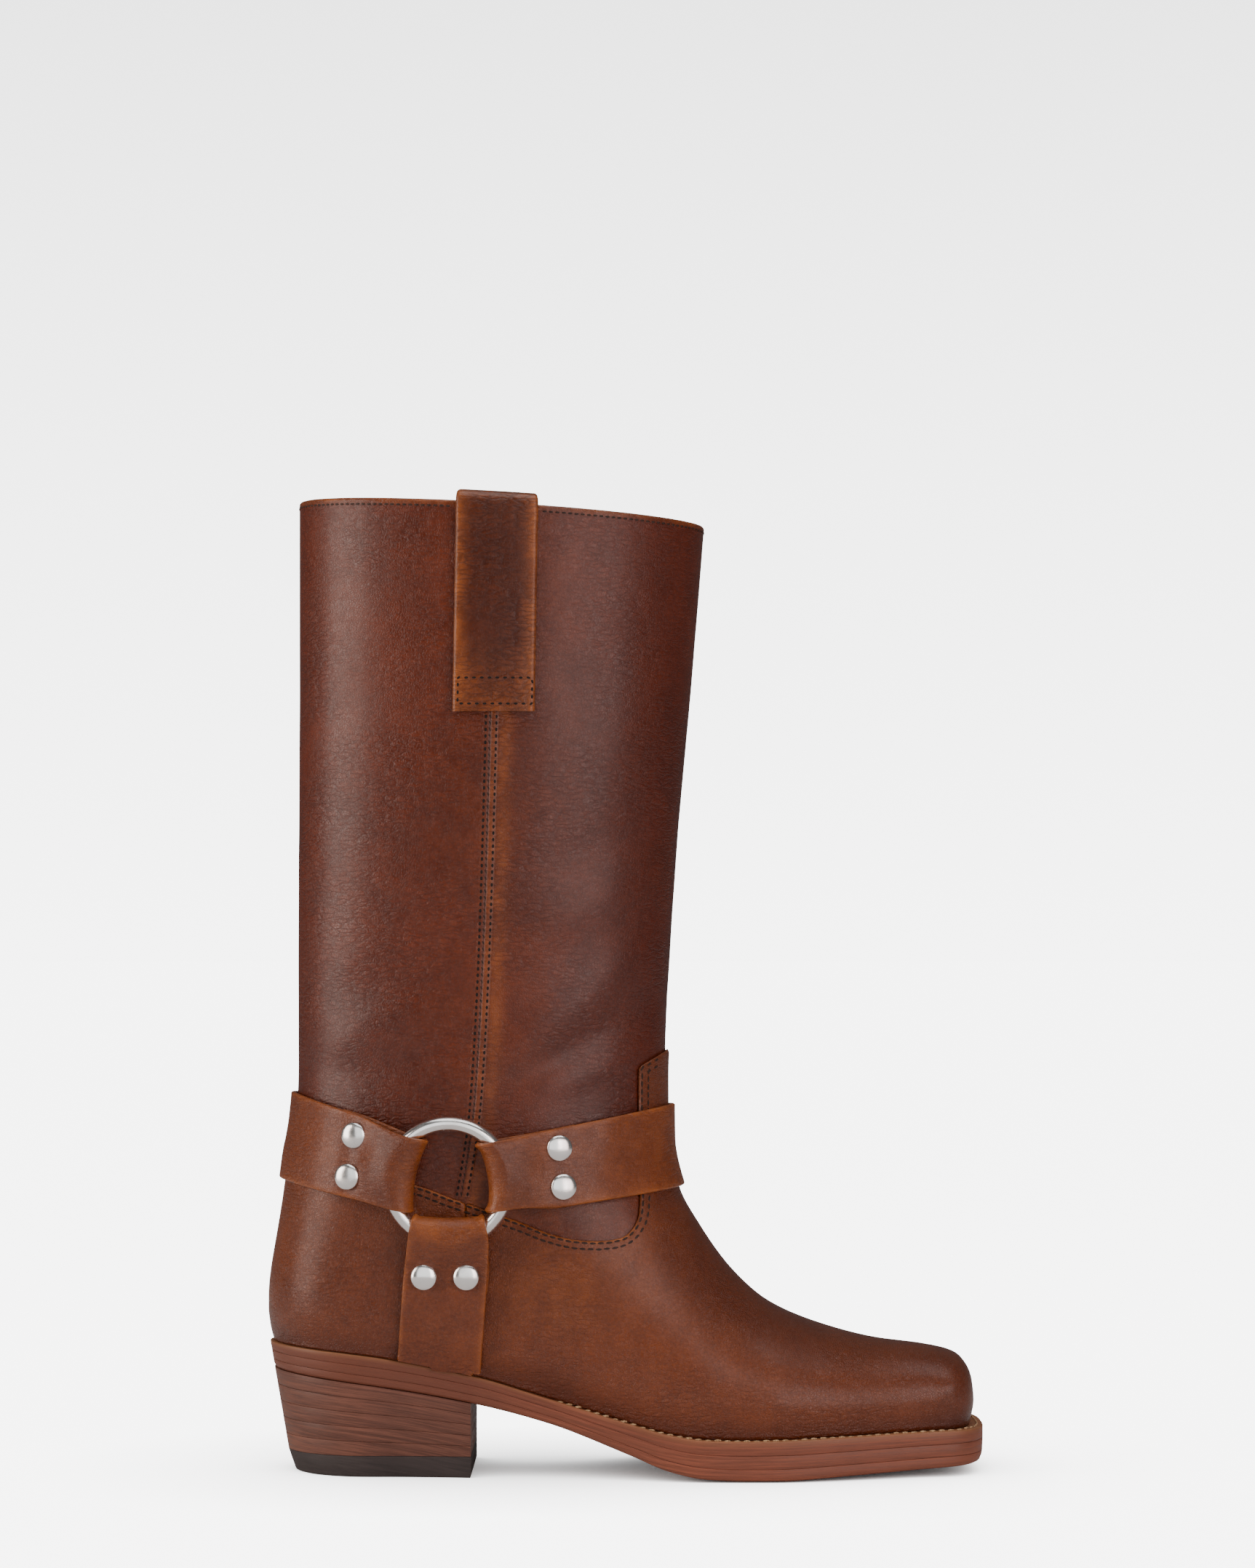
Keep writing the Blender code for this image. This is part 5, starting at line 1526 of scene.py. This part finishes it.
# %% Sew the boot
SEAM_PITCH, EDGE_PITCH, WELT_PITCH = 2.4, 3.0, 3.6
EDGE_ROWS, EDGE_MARGIN = (0.9, 3.1), 2.5
THREAD, ZIGZAG, SEAM_HOLE = (2.5, 1.0, 0.5), (2.2, 0.75, 0.45), (1.5, 1.1, 0.3)
SEAM_HOLES = ((0.0, 0.16), (3.9, 0.27))
ZIGZAG_AT, ZIGZAG_LIFT, ZIGZAG_SLANT = 1.65, 0.02, np.radians(38.0)
threads, pale, holes = bmesh.new(), bmesh.new(), bmesh.new()
for side, label in SIDES:
    for line in (VAMP_LINE, COUNTER_LINE):
        for amount in EDGE_ROWS:
            row = within(evenly(beside(line, amount), EDGE_PITCH), EDGE_MARGIN)
            thin = np.interp(amount, SKIVED, SKIVED_OFF)
            lift = GAP + OVERLAY - thin + side_folds(side, row[:, 0], row[:, 1])
            add_stitches(threads, *on_leather(side, row, lift), *THREAD)
    z = np.arange(SEAM_LOW + 1.0, SEAM_HIGH - 2.0, SEAM_PITCH)
    for offset, lift in SEAM_HOLES:
        dots = seam_points(side, offset, z, lift)
        add_stitches(holes, dots, seam_points(side, offset, z, lift + 1.0) - dots, *SEAM_HOLE)
    dots = seam_points(side, ZIGZAG_AT, z, ZIGZAG_LIFT)
    ups = seam_points(side, ZIGZAG_AT, z, ZIGZAG_LIFT + 1.0) - dots
    add_stitches(threads, dots, ups, *ZIGZAG, ZIGZAG_SLANT)
piece("brown_stitches", threads, brown_thread, "strap_leather")

# %% Sew welt, collar and pull straps
WELT_FROM, WELT_AT, WELT_LIFT, RAGGED = 66.0, 0.55, 0.15, 0.12
WELT_THREAD, COLLAR_THREAD, BOX_HOLE = (2.7, 0.9, 0.95), (1.7, 0.9, 0.45), (1.5, 0.95, 0.3)
BOX = np.array([(30.4, 288.8), (57.2, 288.8), (57.4, 298.4), (30.6, 298.4), (30.4, 288.8)])
BOX_PITCH = 2.8
COLLAR_DROP, COLLAR_LIFT, COLLAR_MIDDLE = 2.4, 0.05, (45.0, 0.0)
rng = np.random.default_rng(7)
for side, label in SIDES:
    line = sole_side(side, lambda x: GAP + OVERLAY + WELT_AT * sole("reveal", x))
    row = evenly(line[line[:, 0] > WELT_FROM], WELT_PITCH)
    row[:, 2] = sole("top", row[:, 0]) + WELT_LIFT + rng.normal(0.0, RAGGED, len(row))
    row[:, 1] += rng.normal(0.0, RAGGED, len(row))
    add_stitches(pale, row, np.tile((0.0, 0.0, 1.0), (len(row), 1)), *WELT_THREAD)
    add_stitches(holes, *on_leather(side, evenly(BOX, BOX_PITCH), PULL_CLEAR + PULL), *BOX_HOLE)
collar = loops([COLLAR_DROP / FRONT_STEPS.sum()], HALF_COLUMNS)[0]
row = evenly(np.concatenate([collar, collar[:1]]), SEAM_PITCH)
ups = unit(np.stack([np.gradient(row[:, 1]), -np.gradient(row[:, 0]), 0.0 * row[:, 0]], axis=-1))
ups *= np.sign((ups[:, :2] * (row[:, :2] - COLLAR_MIDDLE)).sum(axis=1, keepdims=True))
clear = (row[:, 0] < PULL_FROM - 1) | (row[:, 0] > PULL_TO + 1)
collar_stitches = bmesh.new()
add_stitches(collar_stitches, row[clear] + COLLAR_LIFT * ups[clear], ups[clear], *COLLAR_THREAD)
piece("collar_stitches", collar_stitches, brown_thread, "strap_leather")
piece("needle_holes", holes, needle_hole, "strap_leather")
piece("pale_stitches", pale, pale_thread, "sole_leather")

# %% [markdown]
# ## Studio
#
# The boot stands on a pale floor that runs out to a pale background. A tall softbox far to
# the left draws the highlight along the back of the shaft, a wide one to the right of the
# camera the broad highlight on its front, and a soft light overhead the toe. Bare metal
# shows only what it mirrors, so a pale card in front is linked to rings and rivets alone.

# %% Floor
FLOOR_SIZE = 40.0
SHADOW_REACH, SHADOW_POWER, FLOOR_GLOW = 0.10, 1.2, 6.2
WHITE = colour(1.0, 1.0, 1.0)
floor_finish, tree, shader = new_finish("floor")
paint = blend(tree, noise(tree, object_place(tree), 3.0), colour(0.80, 0.80, 0.80), colour(0.84, 0.84, 0.84))
# The floor's glow, seen by the camera alone, is dimmed by ambient occlusion near the boot: a painted contact
# shadow.
seen = node(tree, "ShaderNodeLightPath").outputs["Is Camera Ray"]
open_sky = node(tree, "ShaderNodeAmbientOcclusion", {"Distance": SHADOW_REACH}, samples=16).outputs["AO"]
glow = maths(tree, "MULTIPLY", maths(tree, "POWER", open_sky, SHADOW_POWER), seen)
fill(tree, shader, {"Base Color": paint, "Roughness": 0.85, "Specular IOR Level": 0.1, "Emission Color": WHITE,
                    "Emission Strength": maths(tree, "MULTIPLY", glow, FLOOR_GLOW)})
bm = bmesh.new()
bmesh.ops.create_grid(bm, x_segments=1, y_segments=1, size=FLOOR_SIZE)
mesh = bpy.data.meshes.new("studio_floor")
bm.to_mesh(mesh)
bm.free()
mesh.materials.append(floor_finish)
floor = bpy.data.objects.new("studio_floor", mesh)
bpy.context.scene.collection.objects.link(floor)

# %% Background
HORIZON, TOP, TOP_AT, AMBIENT = 6.0, 3.0, 0.26, 0.10
world = bpy.data.worlds.new("studio")
world.use_nodes = True
tree = world.node_tree
seen = node(tree, "ShaderNodeLightPath").outputs["Is Camera Ray"]
way = node(tree, "ShaderNodeTexCoord").outputs["Generated"]
height = node(tree, "ShaderNodeSeparateXYZ", {0: way}).outputs[2]
backdrop = node(tree, "ShaderNodeMapRange", {0: height, 1: 0.0, 2: TOP_AT, 3: HORIZON, 4: TOP}).outputs[0]
strength = maths(tree, "MULTIPLY_ADD", seen, backdrop, AMBIENT)
fill(tree, tree.nodes["Background"], {"Color": WHITE, "Strength": strength})
bpy.context.scene.world = world


# %% Lights
def softbox(name, location, aim, width, height, power, tint):
    """A rectangular light turned to a point, itself unseen."""
    data = bpy.data.lights.new(name, "AREA")
    data.shape = "RECTANGLE"
    data.size, data.size_y = width, height
    data.energy = power
    data.color = tint
    made = bpy.data.objects.new(name, data)
    made.visible_camera = False
    back = unit(np.asarray(location) - np.asarray(aim))
    right = unit(np.cross((0.0, 0.0, 1.0), back))
    made.matrix_world = Matrix.Translation(location) @ from_axes(right, np.cross(back, right), back)
    bpy.context.scene.collection.objects.link(made)
    return made


AIM = (0.06, 0.0, 0.18)
softbox("softbox_left", (-1.26, -0.48, 0.45), AIM, 0.70, 1.3, 15.0, (1.0, 0.87, 0.79))
softbox("softbox_right", (0.96, -1.33, 0.45), AIM, 1.0, 1.2, 13.0, (1.0, 0.82, 0.79))
softbox("softbox_top", (0.15, -0.25, 1.70), AIM, 1.4, 1.2, 12.0, (1.0, 1.0, 1.0))
metal = bpy.data.collections.new("metal")
for name in ("rivet_caps", "ring_lateral_wire", "ring_medial_wire"):
    metal.objects.link(bpy.data.objects[name])
card = softbox("metal_card", (0.0, -1.30, 0.35), AIM, 1.6, 1.4, 10.0, (1.0, 1.0, 1.0))
card.light_linking.receiver_collection = metal
print("lights: 3 softboxes and a card")
